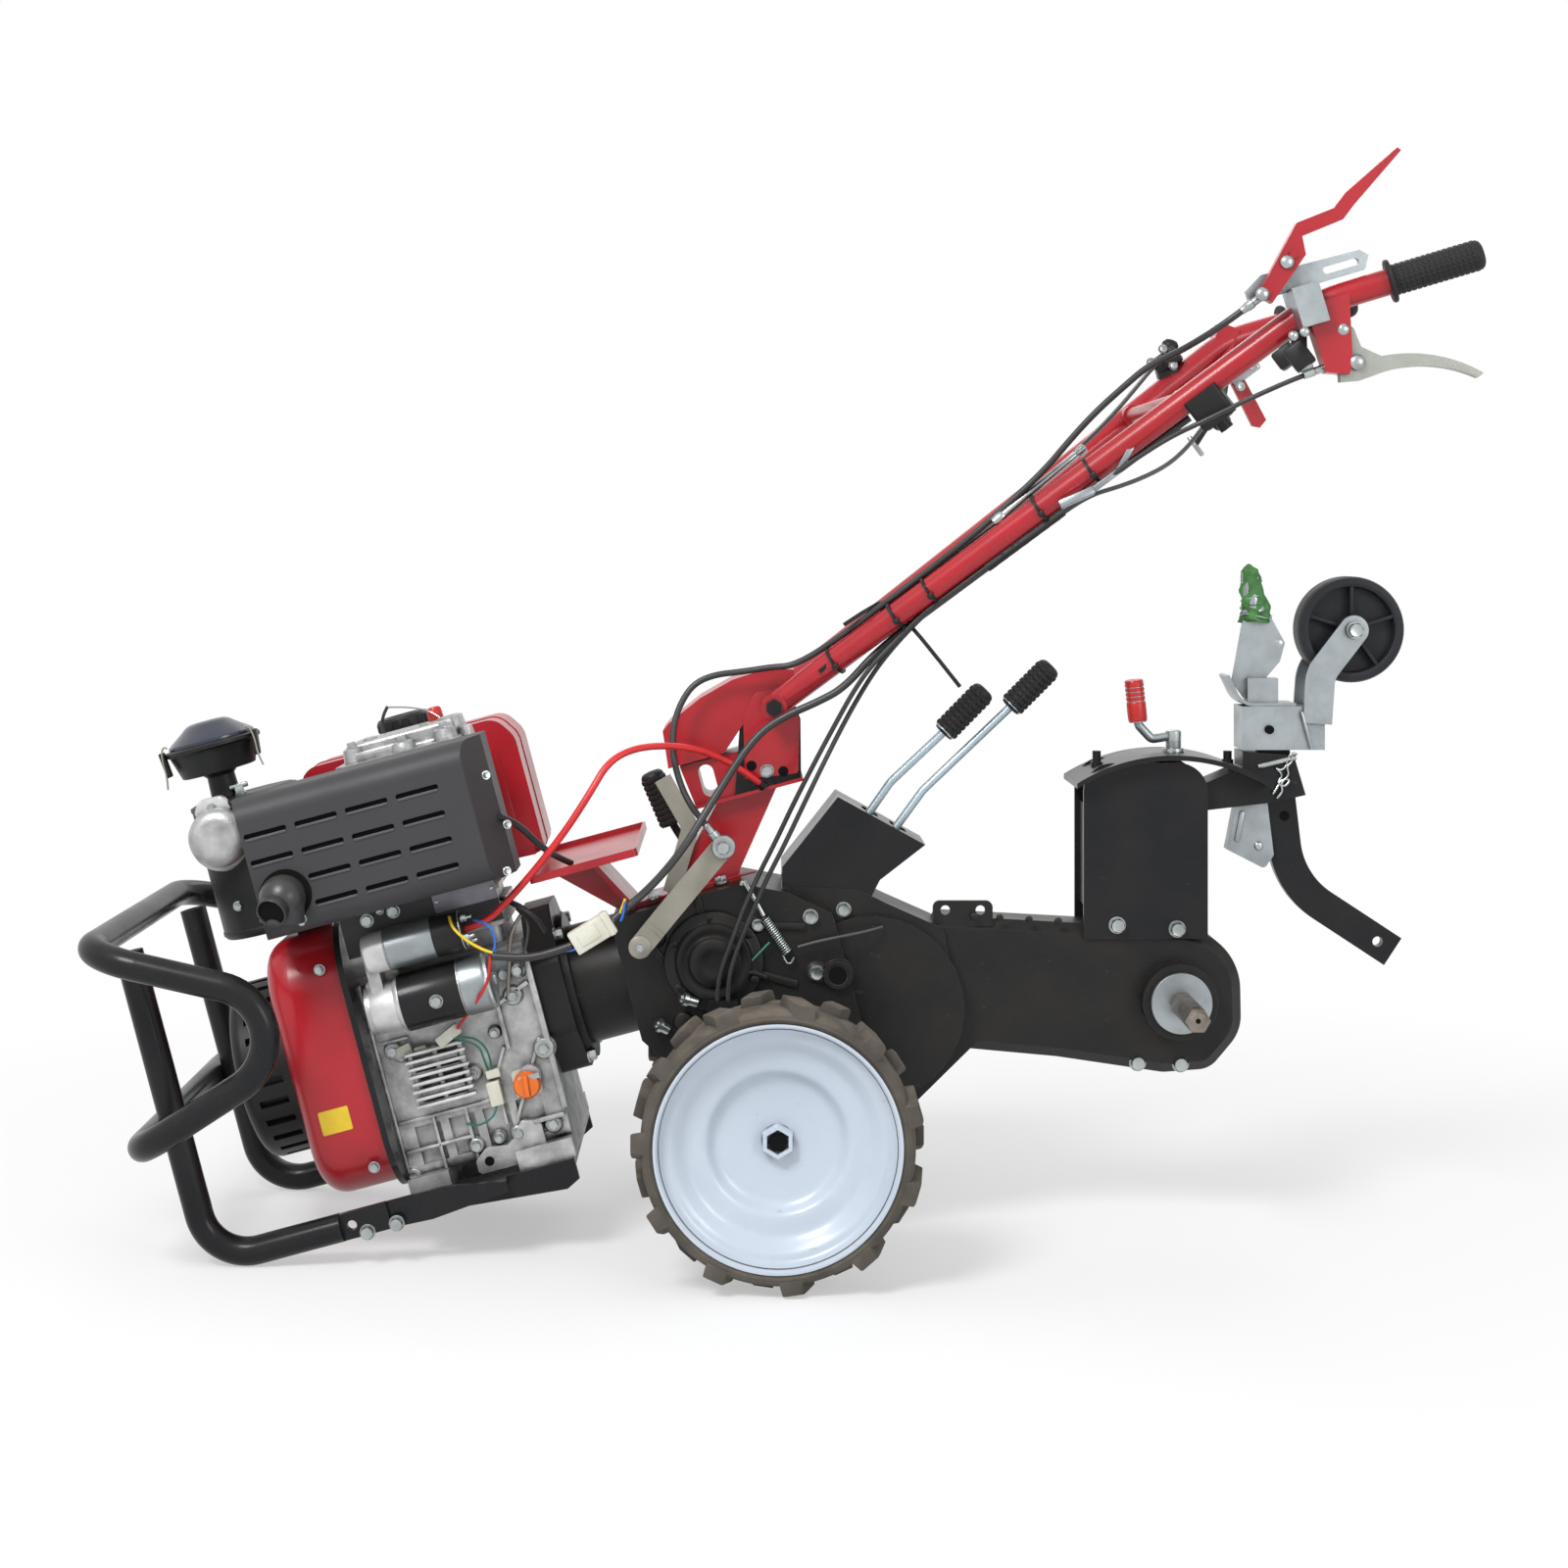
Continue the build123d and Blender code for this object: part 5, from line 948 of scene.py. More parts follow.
filler_plate = rounded((-281, 90, 4), (-250, 90, 4), (-250, 122, 4), (-281, 122, 4))
add_prism("oil_filler_plate", filler_plate, -112, -104, 1)
add_turned(
    "oil_filler_cap", [(0, 13), (0.5, 15.2), (2, 15.8), (13, 15.4), (15.6, 13.6), (16.2, 9)],
    on_machine(-265, -112, 105), TOWARDS, 32,
)
add_block("oil_filler_cap", on_machine(-265, -130, 105), (25, 5.5, 7), UP + ALONG * 0.1, TOWARDS, 1.6)

WIRE_PLUGS = [  # place on the machine, size, direction
    ((-335, -132, 184), (30, 13, 10), ALONG + UP * 0.45), ((-303, -116, 104), (28, 15, 12), UP),
    ((-300, -114, 126), (16, 10, 9), ALONG), ((-392, -116, 178), (20, 12, 10), ALONG + UP * 0.2),
    ((-372, -118, 174), (14, 9, 9), ALONG),
]
for place, size, lean in WIRE_PLUGS:
    add_block("white_wire_plugs", on_machine(*place), size, lean, TOWARDS, 1.4)
for share, out, size, edge in (
    (0.5, 0, (50, 15.6, 26.6), 1.6), (0.42, 0.0078, (24, 2.4, 15), 0.8), (0.86, 0, (6, 17.5, 28), 1.0),
):
    place = connector_foot + connector_run * share - RIGHT * out
    add_block("harness_connector", place, size, connector_run, UP, edge)

WIRES = {
    "yellow_wire": (wire_yellow, 3.4, [
        (-293, -176, 318), (-291, -190, 311), (-286, -197, 302), (-276, -200, 289), (-262, -202, 276),
        (-252, -203, 270),
    ]),
    "blue_wire": (wire_blue, 3.0, [
        (-268, -176, 308), (-258, -190, 306), (-249, -198, 300), (-246, -201, 288), (-248, -202, 277),
        (-252, -203, 270),
    ]),
    "blue_wire_at_connector": (
        wire_blue, 3.0, [(-152, -203, 258), (-158, -203, 252), (-166, -204, 250), (-174, -204, 252)],
    ),
    "red_wire_at_connector": (
        lead_red, 3.0, [(-152, -200, 263), (-158, -199, 262), (-166, -199, 258), (-174, -201, 254)],
    ),
    "blue_wire_past_connector": (
        wire_blue, 3.0, [(-107, -204, 268), (-103, -204, 273), (-100, -203, 280), (-97, -202, 287)],
    ),
    "yellow_wire_past_connector": (
        wire_yellow, 3.0, [(-107, -201, 273), (-104, -201, 279), (-100, -201, 284), (-96, -200, 290)],
    ),
    "red_switch_wire": (lead_red, 3.4, [
        (-256, -203, 268), (-260, -203, 256), (-266, -196, 242), (-278, -188, 228), (-296, -170, 212),
        (-312, -150, 199), (-322, -138, 190),
    ]),
    "green_wire_upper": (wire_green, 2.4, [
        (-330, -136, 180), (-318, -134, 178), (-306, -130, 172), (-298, -126, 158), (-298, -120, 140),
        (-300, -116, 130),
    ]),
    "green_wire_lower": (wire_green, 2.4, [
        (-328, -134, 176), (-314, -136, 172), (-304, -134, 162), (-304, -126, 146), (-304, -118, 132),
    ]),
    "green_wire_foot": (wire_green, 2.4, [
        (-304, -118, 92), (-308, -122, 82), (-320, -124, 76), (-334, -120, 74), (-344, -112, 78),
    ]),
    "breather_hose": (cable_black, 7.5, [
        (-207, -196, 414), (-196, -176, 402), (-186, -160, 384), (-178, -146, 366), (-164, -128, 346),
        (-152, -112, 334),
    ]),
    "fuel_pipe_near": (dull_steel, 4.4, [
        (-223, -114, 292), (-236, -120, 280), (-244, -120, 262), (-250, -118, 240), (-258, -116, 218),
        (-262, -112, 200),
    ]),
    "fuel_pipe_far": (dark_steel, 4.4, [
        (-226, -108, 300), (-216, -116, 286), (-222, -120, 264), (-234, -120, 244), (-240, -114, 226),
    ]),
    "fuel_return_hose": (cable_black, 7.0, [
        (-240, -108, 316), (-226, -122, 308), (-214, -124, 296), (-205, -116, 282), (-203, -106, 266),
    ]),
    "fuel_leak_off_pipe": (cable_black, 4.0, [(-346, 60, 520), (-348, 60, 534), (-342, 58, 548), (-334, 56, 556)]),
}
route_all(WIRES)

# ---------------------------------------------------------------- muffler, air filter and fuel tank
SLOT_HALF = 23.6
SLOT_PITCH = (57.2, -29.4)
for row in range(4):
    for column in range(4):
        if column > 0 or row < 2:  # the outlet takes the place of the lower two in front
            forward, height = -454.5 + SLOT_PITCH[0] * column, 466 + SLOT_PITCH[1] * row
            front, rear = forward - SLOT_HALF, forward + SLOT_HALF
            slot = rounded(
                (front, height - 2.2, 2.1), (rear, height - 2.2, 2.1), (rear, height + 2.4, 2.1),
                (front, height + 2.4, 2.1), steps=4,
            )
            add_prism("muffler_slot_shadows", slot, -231.6, -230, 0)
            # Lip under each slot, in lighter dark steel: a real lip with a painted highlight.
            lip = on_machine(forward, -235.3, height - 3.7)
            add_block("muffler_lip_highlights", lip, (46, 3, 2.0), ALONG, TOWARDS, 0.8)
add_screws(
    "muffler_screws", TOWARDS + ALONG * 0.6, 6.5, 3, 0.6, (-206, -226, 463.5), (-198, -222, 405), (-211, -226, 356)
)
add_screws("muffler_screws", TOWARDS, 11.2, 5, 0.8, (-389.5, -138, 333.7), (-358, -138, 336.3))
add_screws("muffler_screws", TOWARDS, 6.4, 5, 0.8, (-372.5, -138, 341))
add_screws("muffler_screws", TOWARDS - UP * 0.4, 7, 8, 0.8, (-440, -233, 364))
add_screws("muffler_screws", TOWARDS, 8, 3, 1, (-534, -101, 384))
add_screws("muffler_screws", TOWARDS, 8, 4, 0.8, (-533, -108, 500))
add_screws("muffler_screws", UP, 10, 8, 2, (-507, -60, 505))
add_block("muffler_screws", on_machine(-507, -60, 515), (22, 4, 6), ALONG, UP, 1.5)

OUTLET_RADIUS = 25.4
outlet = on_machine(-452, -246, 393)
mouth = (TOWARDS - UP * 0.38 - ALONG * 0.38).normalized()
ball = [
    (-OUTLET_RADIUS * math.cos(angle), OUTLET_RADIUS * math.sin(angle) + 0.01)
    for angle in (math.radians(5 * n) for n in range(1, 29))
]
lip = [(24.5, 17.6), (31.0, 17.0), (31.8, 16.2), (31.4, 15.2), (29.0, 14.8)]
add_turned("exhaust_outlet", ball + lip, outlet, mouth, 40)
# Dark disc inside the outlet's mouth: painted shade.
add_turned("exhaust_throat", [(29.0, 15.2), (29.4, 15.2)], outlet, mouth, 40)
# Dark ring in the recess round the outlet: painted shade.
recess = [(0, 28.6), (0.5, 28.6), (0.6, 27.8), (0.6, 20)]
add_turned("exhaust_recess", recess, on_machine(-450, -235.2, 394), TOWARDS, 48)
for height in (352, 500):
    band = [(0, 61.5), (0.5, 62.6), (1.5, 63.2), (5, 63.2), (6, 62.6), (6.5, 61.5)]
    add_turned("air_filter_bands", band, on_machine(-507, -45, height - 3), UP, 64)
add_turned(
    "intake_elbow", [(-6, 37.2), (0, 37.4), (5, 36.2), (10, 33), (14.5, 27.5), (17.5, 20), (19, 11), (19.4, 2)],
    on_machine(-533, -98, 463), TOWARDS, 48,
)
elbow_flange = rounded((-561, 490, 8), (-503, 490, 8), (-520, 512, 9), (-546, 512, 9), steps=5)
add_prism("intake_elbow", elbow_flange, -108, -96, 2, 3)
add_turned("intake_elbow", [(0, 12), (7, 11), (9, 8)], on_machine(-560, -84, 470), TOWARDS - ALONG, 24)

PRE_CLEANER = (-527, -45)
bowl = [
    (-0.5, 15.5), (1, 17), (27, 16), (31, 20), (32, 40), (33, 43), (35, 43.6), (60, 51.4), (61, 54.5), (62.5, 55.9),
    (66, 55.9), (67.5, 54), (68, 50),
]
add_turned("pre_cleaner_bowl", bowl, on_machine(*PRE_CLEANER, 505), UP, 64)
dome = [
    (0, 49.6), (2, 50.4), (5, 49.8), (8, 46), (13, 39), (18, 32), (22, 27), (24, 23.5), (25.4, 19), (26, 12), (26, 2),
]
add_turned("pre_cleaner_dome", dome, on_machine(*PRE_CLEANER, 572), UP, 64)
for side, name in ((-1, "front"), (1, "rear")):
    latch = on_machine(PRE_CLEANER[0] + side * 54, -66, 560)
    add_block("pre_cleaner_latches", latch, (30, 13, 6), UP + ALONG * side * 0.1, ALONG * side, 1.6)
    bail = [(-4 * side, 578), (-2 * side, 582), (3 * side, 577), (5 * side, 562), (4 * side, 546), (7 * side, 532)]
    places = [on_machine(PRE_CLEANER[0] + side * 50 + shift, -74, height) for shift, height in bail]
    routed(f"pre_cleaner_bail_{name}", places, 0.0022, dull_steel, "chassis")

tank = rounded(
    (-459, 345, 14), (-197, 335.5, 12), (-197, 481, 30), (-215, 508, 24), (-447, 508, 22), (-459, 499, 10), steps=8
)
seam = rounded(
    (-460.3, 344.2, 15), (-195.9, 334.6, 13), (-195.9, 481.4, 31), (-214.6, 509.2, 25), (-447.4, 509.2, 23),
    (-460.3, 500, 11), steps=8,
)
panel = rounded((-400, 372, 20), (-222, 366, 20), (-222, 470, 28), (-232, 484, 20), (-400, 484, 20), steps=8)
add_prism("fuel_tank_pressed", tank, 74.5, 204.5, 15, 5)
add_prism("fuel_tank_pressed", seam, 128, 131.5, 0.5)
add_prism("fuel_tank_pressed", panel, 72.8, 78, 2.4, 3)
add_block("fuel_tank_brackets", on_machine(-320, 64, 385), (90, 20, 84), ALONG, UP, 3)
FUEL_CAP = (-332, 139.5)
FUEL_CAP_RADIUS = 32.8
neck = [(-4, 30), (14, 30), (15, 32.6), (27, 33), (30.5, 30.5), (32, 26), (31.6, 19), (27, 17.5), (26.6, 3)]
add_turned("fuel_filler_cap", neck, on_machine(*FUEL_CAP, 508), UP, 48)
for n in range(16):
    cos, sin = math.cos(math.radians(22.5 * n)), math.sin(math.radians(22.5 * n))
    spot = on_machine(FUEL_CAP[0] + FUEL_CAP_RADIUS * cos, FUEL_CAP[1] + FUEL_CAP_RADIUS * sin, 529)
    add_block("fuel_filler_cap", spot, (10, 5, 2), UP, ALONG * cos + RIGHT * sin, 0.7)

ROCKER_BOSSES = [  # place on the machine, radius, reach
    (-372, -40, 507, 13, 16), (-352, -20, 507, 10, 22), (-312, -50, 507, 14, 9), (-286, -30, 507, 12, 16),
    (-262, -46, 507, 14, 12), (-258, 0, 507, 18, 22), (-330, 10, 507, 20, 12), (-382, 20, 507, 12, 14),
    (-300, -8, 507, 9, 18), (-240, -20, 500, 9, 14),
]
for *place, radius, reach in ROCKER_BOSSES:
    boss = [
        (-12, radius + 1), (0, radius), (reach * 0.6, radius * 0.92), (reach - 1.5, radius * 0.86),
        (reach, radius * 0.6),
    ]
    add_turned("rocker_cover_castings", boss, on_machine(*place), UP, 28)
add_screws(
    "rocker_cover_screws", UP, 10, 5, 1, (-372, -40, 523), (-312, -50, 516), (-262, -46, 519), (-286, -30, 523),
    (-382, 20, 521), (-330, 10, 519),
)
add_block("rocker_cover_castings", on_machine(-342, -48, 510), (56, 9, 12), ALONG, UP, 2)
add_block("rocker_cover_castings", on_machine(-300, -20, 512), (60, 7, 14), ALONG, UP, 2)
add_turned("decompression_plug", [(0, 8), (1, 9.4), (14, 9), (17, 7.6), (18, 4)], on_machine(-279, 40, 524), UP, 24)
add_turned("rocker_cover_castings", [(-16, 15), (-1, 14), (1, 12.5), (2, 8)], on_machine(-279, 40, 522), UP, 24)

label = rounded((-496, 114, 1.5), (-461.5, 114, 1.5), (-461.5, 141, 1.5), (-496, 141, 1.5), steps=3)
add_prism("blank_caution_label", label, -155.7, -154.6, 0.2)
plate = rounded((-312, 321, 2), (-240, 321, 2), (-240, 346, 2), (-312, 346, 2), steps=3)
add_prism("blank_engine_plate", plate, -139.2, -137.8, 0.3)
for forward in (-308, -244):
    rivet = on_machine(forward, -139.2, 333.5)
    add_turned("blank_engine_plate_rivets", [(0, 2.4), (0.8, 2), (1.2, 0.8)], rivet, TOWARDS, 12)
add_screws("shroud_screws", TOWARDS, 9, 4, 1, (-452, -155, 296), (-450, -155, 66))

# ---------------------------------------------------------------- gearbox, clutch and shift levers
GEARBOX_FACE = 75
BEARING = (-26, 179)
BEARING_SCREWS = 51
bearing_cap = [
    (-1, 57.5), (5.6, 57.5), (7.6, 56.6), (8.5, 54.8), (8.6, 47), (9.4, 45.4), (13.6, 43.4), (15.4, 41.6),
    (15.6, 36.4), (14.7, 34.8), (14.6, 31), (15.8, 29.4), (20.2, 26.8), (21.2, 24.4), (21.3, 15), (20.7, 13.4),
    (20.6, 3),
]
GEARBOX_BOSSES = [  # forward, height, radius, reach
    (108, 127, 16.5, 9), (85, 135, 12, 3), (34, 206, 9, 6), (11, 185, 6, 6), (-78, 120, 11, 5), (-84, 222, 11, 5),
    (96, 60, 11, 6), (20, 84, 9, 5),
]
GEARBOX_RIBS = [  # forward and height of both ends
    (-26, 234, -26, 262), (-80, 190, -92, 214), (22, 150, 60, 128), (28, 206, 86, 190), (-66, 110, -40, 60),
    (40, 60, 96, 60),
]
for side in (-1, 1):
    out = RIGHT * side
    add_turned("gearbox_bearing_caps", bearing_cap, on_machine(BEARING[0], side * GEARBOX_FACE, BEARING[1]), out, 64)
    for n in range(6):
        angle = math.radians(60 * n + 22)
        forward, height = BEARING[0] + BEARING_SCREWS * math.cos(angle), BEARING[1] + BEARING_SCREWS * math.sin(angle)
        screw = on_machine(forward, side * 83.4, height)
        add_turned("gearbox_bearing_caps", [(0, 4.6), (2.4, 4.2), (3, 3.2)], screw, out, 16)
    for forward, height, radius, reach in GEARBOX_BOSSES:
        boss = [(-2, radius + 3), (0, radius + 1.6), (1.4, radius), (reach - 1, radius * 0.94), (reach, radius * 0.8)]
        add_turned("gearbox_castings", boss, on_machine(forward, side * GEARBOX_FACE, height), out, 28)
    for low_forward, low, high_forward, high in GEARBOX_RIBS:
        across = side * (GEARBOX_FACE + 1.5)
        start, end = on_machine(low_forward, across, low), on_machine(high_forward, across, high)
        add_bar("gearbox_castings", start, end, 9, 6, RIGHT, 1.5)
# Dark disc in the open bore: painted shade.
add_turned("gearbox_open_bore", [(0, 10.5), (0.6, 10.5)], on_machine(108, -83.6, 127), TOWARDS, 28)
bore_rim = [(-1, 16.4), (0.8, 16.4), (1.6, 15.6), (1.6, 12.2), (0.4, 11.2), (0.0, 10.6)]
add_turned("gearbox_castings", bore_rim, on_machine(108, -83.4, 127), TOWARDS, 28)
add_block("gearbox_castings", on_machine(110, -62, 183), (22, 6, 10), ALONG, UP, 1.5)

GEARBOX_SCREWS = [  # place on the machine, flats, head
    (85, -78, 135, 13, 8), (34, -81, 206, 10, 5), (11, -81, 185, 5, 4), (16, -80, 156, 6, 5), (8, -60, 244, 6, 4),
    (23, -60, 233, 7, 4), (-26, -60, 238, 6, 4),
]
for *place, flats, head in GEARBOX_SCREWS:
    add_bolt("gearbox_screws", on_machine(*place), TOWARDS, flats, head, 1)
add_screws("gearbox_screws", UP, 13, 6, 2, (-76, -40, 262), (4, -40, 259))
NIPPLE_RADIUS = 6.5
NIPPLE = [(0, 1), (0.5, 1), (0.55, 1.3), (0.8, 1.3), (0.86, 0.8), (1, 0.7)]  # shares of its length and radius
for start, end in (((-57, -84, 139), (-74, -90, 150)), ((-98, -78, 116), (-109, -84, 128))):
    run = on_machine(*end) - on_machine(*start)
    profile = [(run.length * 1000 * reach, NIPPLE_RADIUS * share) for reach, share in NIPPLE]
    add_turned("gearbox_screws", profile, on_machine(*start), run, 16)

yoke_face = rounded(
    (62, 369, 3), (124, 360, 4), (141.5, 420, 5), (136, 460.6, 6), (99, 464.4, 6), (79, 440, 5), steps=4
)
add_prism("yoke_side_plate", yoke_face, -47.4, -45.9, 0.4)
# Dark discs in the two holes by the column: painted shade.
for x, z in ((-27.7, 548.4), (9.3, 542)):
    add_turned("dark_holes", [(0, 6), (0.5, 5.6), (0.6, 5)], point(x, -47.4, z), TOWARDS, 28)
add_bolt("column_screws", point(-8.6, -47.4, 543), TOWARDS, 10, 5, 1.2)
for forward in (-70, -20, 30):
    add_block("column_welds", on_machine(forward, -46.2, 262), (34, 4, 2.4), ALONG, UP, 1)

pin_head = [(0, 12), (0.6, 13.4), (14, 13.4), (15, 12.4), (15.4, 10)]
add_turned("clutch_clevis", pin_head, on_machine(20, -101, 307), TOWARDS, 32)
add_screws("clutch_clevis", TOWARDS, 13, 7, 2, (20, -116, 307))
ferrule_aim = clevis_lift.normalized()
ferrule = [(0, 5.5), (1, 6.4), (11, 6.2), (12, 4.6), (22, 4.4), (23, 3.9)]
add_turned("clutch_clevis", ferrule, clevis + ferrule_aim * 0.009, ferrule_aim, 20)
add_turned("clutch_arm_boss", [(0, 12.6), (1.2, 13), (1.8, 12)], on_machine(-102, -105, 220), TOWARDS, 32)
for share in (0.16, 0.2):
    seam = on_machine(-102 + 122 * share, -105.4, 220 + 87 * share)
    add_block("clutch_arm_boss", seam, (23, 1.6, 0.8), UP * 1.22 - ALONG * 0.87, TOWARDS, 0.3)

SPRING_TURNS, STEPS_A_TURN, COIL_RADIUS = 17, 10, 0.0056
spring_top = point(-13, -82, 376)
spring_run = point(13.5, -82, 337) - spring_top
spring_side = spring_run.normalized().cross(RIGHT)
rod_places = places_of(point, (-40, -82, 414), (-39, -82, 418), (-34, -82, 416.5), (-14, -82, 379))
coil_places = [spring_top - spring_side * 0.004]
for step in range(SPRING_TURNS * STEPS_A_TURN + 1):
    angle = 2 * math.pi * step / STEPS_A_TURN
    middle = spring_top + spring_run * (step / (SPRING_TURNS * STEPS_A_TURN))
    coil_places.append(middle + (RIGHT * math.sin(angle) - spring_side * math.cos(angle)) * COIL_RADIUS)
coil_places += places_of(point, (8, -82, 334), (12, -82, 324.5), (18, -82, 323), (21, -82, 331))
for name, places, diameter in (("clutch_pull_rod", rod_places, 0.0056), ("clutch_coil_spring", coil_places, 0.0022)):
    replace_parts(routed(name, places, diameter, bright_zinc, "chassis"), "clutch_spring")
RODS = {
    "throttle_return_wire": (bright_zinc, 2.0, [
        (-334, 56, 555), (-318, 46, 552), (-298, 34, 546), (-280, 24, 538), (-272, 20, 528),
    ]),
    "brake_link_rod": (dark_steel, 3.4, [
        (72, -88, 171), (92, -88, 171.5), (119, -88, 170), (140, -84, 168), (158, -76, 166), (172, -67, 165),
    ]),
    "drain_wire": (wire_green, 2.6, [(42, -84, 184), (18, -86, 170), (-8, -88, 154), (-28, -88, 143)]),
    "vent_pipe": (black_plastic, 6.0, [
        (-8, -84, 143), (-4, -86, 152), (6, -87, 157), (17, -86, 156), (28, -84, 146),
    ]),
}
route_all(RODS)

add_knurled("shift_knobs", point(200.6, 0, 584.6), Vector((49, 0, 50)), 70.6, 15.5, 9, 10)
add_knurled("shift_knobs", point(279.5, 0, 614.6), Vector((48, 0, 48)), 68.6, 15.5, 9, 10)
add_knurled("shift_knobs", on_machine(-38, 50, 330.6), UP * 63 - ALONG * 9, 69, 15.5, 9, 10)
for place, axis in ((point(200, 0, 584), Vector((49, 0, 50))), (point(279, 0, 614), Vector((48, 0, 48)))):
    add_turned("shift_knobs", [(-2, 8), (-1, 12), (0.6, 13)], place, axis, 24)
crank_grip = [(-0.6, 6), (0, 9.4), (1.6, 11.0), (6, 11.4), (22, 11.5), (24, 11.0), (24.6, 10.4)]
for n in range(4):
    crank_grip += [(25.6 + 5.4 * n, 10.4), (26.6 + 5.4 * n, 11.3), (29.4 + 5.4 * n, 11.3), (30.2 + 5.4 * n, 10.4)]
crank_grip += [(47.6, 11.3), (49.6, 10.6), (50.6, 8.4), (51, 4)]
add_turned("crank_grip", crank_grip, point(430, 0, 596), Vector((-0.1, 0, 1)), 32)
crank_hub = [(-6, 12), (-4.5, 13), (-1, 12.6), (0, 8.6), (16, 9.4), (19, 9.2), (20.4, 7.6), (20.8, 4)]
add_turned("crank_hub", crank_hub, point(472, 0, 566), Vector((0, 0, 1)), 28)

# ---------------------------------------------------------------- tine shaft and chain case
for side in (-1, 1):
    disc, end, out = point(470, side * 70, 275), point(470, side * 175, 275), RIGHT * side
    add_turned("tine_shaft_discs", [(-7.6, 34), (-6.8, 35.3), (0.2, 35.3), (0.9, 34.6), (1.0, 14)], disc, out, 56)
    # Dark dot in the middle of each shaft end: painted shade.
    add_turned("tine_shaft_centre_shades", [(-0.5, 3.4), (0.35, 3.0), (0.4, 1.0)], end, out, 18)
    add_turned("tine_shaft_ends", [(-3, 9.4), (-0.2, 9.4), (0.3, 8.6), (0.35, 3.8)], end, out, 28)
for place in places_of(point, (232, -44, 372), (262, -44, 371), (296, -44, 369), (330, -44, 367)):
    add_turned("chain_case_seams", [(0, 4.5), (2, 4), (2.6, 3)], place, TOWARDS, 16)

# ---------------------------------------------------------------- tail wheel, latch and drag bar
wheel_hub = point(679, 0, 706)
TAIL_WHEEL_STEPS = 72
tread = [(20, 56.5), (18.5, 60.6), (14, 62.5), (6, 62.5), (0, 62.5)]
dish = [(20, 8.4), (20, 13.5), (19, 15), (5, 18), (6, 49.6), (19, 51), (20, 52.5)]
section = tread + [(-out, radius) for out, radius in reversed(tread[:-1])]
section += [(-out, radius) for out, radius in reversed(dish)] + dish
work = kits["tail_wheel_moulded"]
rings = []
for n in range(TAIL_WHEEL_STEPS):
    angle = 2 * math.pi * n / TAIL_WHEEL_STEPS
    cos, sin = math.cos(angle), math.sin(angle)
    rings.append([work.verts.new(wheel_hub + point(radius * cos, out, radius * sin)) for out, radius in section])
join_rings(work, rings, closed=True)
for side in (-1, 1):
    for n in range(5):
        angle = math.radians(72 * n + 18)
        aim = Vector((math.cos(angle), 0, math.sin(angle)))
        spoke = wheel_hub + aim * 0.033 + point(0, side * 12, 0)
        add_block("tail_wheel_moulded", spoke, (38, 4.4, 12.5), aim, RIGHT, 1.2)
    add_bolt("rear_fittings", wheel_hub + point(0, side * 33.5, 0), RIGHT * side, 15, 7, 2)

REAR_PINS = [  # place, sides, profile
    ((595, -8, 689), 24, [(0, 6.4), (1.2, 6), (2.2, 4.4), (2.6, 2)]),
    ((571, -6.2, 737), 24, [(0, 9.4), (0.8, 9.6), (1.2, 8.4)]),
    ((570, -14, 451), 20, [(0, 5.4), (1.2, 5), (2.4, 3.6), (2.8, 1.6)]),
]
for place, sides, profile in REAR_PINS:
    add_turned("rear_fittings", profile, point(*place), TOWARDS, sides)
add_bar("latch_pressing", point(553, -7, 708), point(579, -7, 662), 9, 3.4, TOWARDS, 1.5)
add_bar("latch_pressing", point(551, -15, 492), point(544, -15, 456), 6, 3.4, TOWARDS, 1.5)
add_block("latch_pressing", point(623, -30.6, 588), (3, 2, 46), ALONG, Vector((0, 0, 1)), 0.8)
# Dark discs in two holes at the rear: painted shade.
add_turned("dark_holes", [(0, 5.2), (0.5, 5.0), (0.6, 4)], point(580, -30.2, 589), TOWARDS, 24)
add_turned("dark_holes", [(0, 6.0), (0.5, 5.8), (0.6, 5)], point(602, -7.1, 485.5), TOWARDS, 24)
CLIP = [
    (612, 560), (607, 563), (601, 556), (600, 546), (592, 541), (586, 545), (596, 536), (588, 526), (598, 522),
    (604, 531), (594, 531), (588, 520), (583, 514),
]
CLIP_TWIST = [(588, 509), (596, 516), (592, 526), (603, 536), (599, 546), (607, 552), (606, 559)]
HITCH_WIRES = {
    "hitch_pin": (0.0062, places_of(point, (567, -27, 545.6), (580, -28, 549), (597, -28, 553), (611, -27, 556.6))),
    "hitch_clip": (0.0028, [point(x, -29.5 - 1.5 * math.sin(n * 1.7), z) for n, (x, z) in enumerate(CLIP)]),
    "hitch_clip_twist": (0.0026, [point(x, -30, z) for x, z in CLIP_TWIST]),
}
for name, (diameter, places) in HITCH_WIRES.items():
    routed(name, places, diameter, bright_zinc, "chassis")

# The netting that is wound on the latch's handle: a lumpy sleeve and the cords on it.
SLEEVE_STEPS, SLEEVE_LEVELS = 28, 26
bubbles = random.Random(7)
work = kits["latch_handle_sleeve"]
rings = []
for level in range(SLEEVE_LEVELS):
    share = level / (SLEEVE_LEVELS - 1)
    middle = point(568 - 7.8 * share, -8, 716 + 64.5 * share)
    reach = (18.5 - 8.6 * share ** 0.8) * (0.6 if level == SLEEVE_LEVELS - 1 else 1)
    ring = []
    for n in range(SLEEVE_STEPS):
        angle = 2 * math.pi * n / SLEEVE_STEPS
        lump = 1 + 0.10 * math.sin(3 * angle + 9 * share) + 0.09 * math.sin(5 * angle - 14 * share)
        lump += bubbles.uniform(-0.05, 0.05)
        wave = 3.0 * math.sin(2 * angle + 5 * share)
        spot = point(reach * lump * math.cos(angle), reach * 0.8 * lump * math.sin(angle), wave)
        ring.append(work.verts.new(middle + spot))
    rings.append(ring)
join_rings(work, rings)
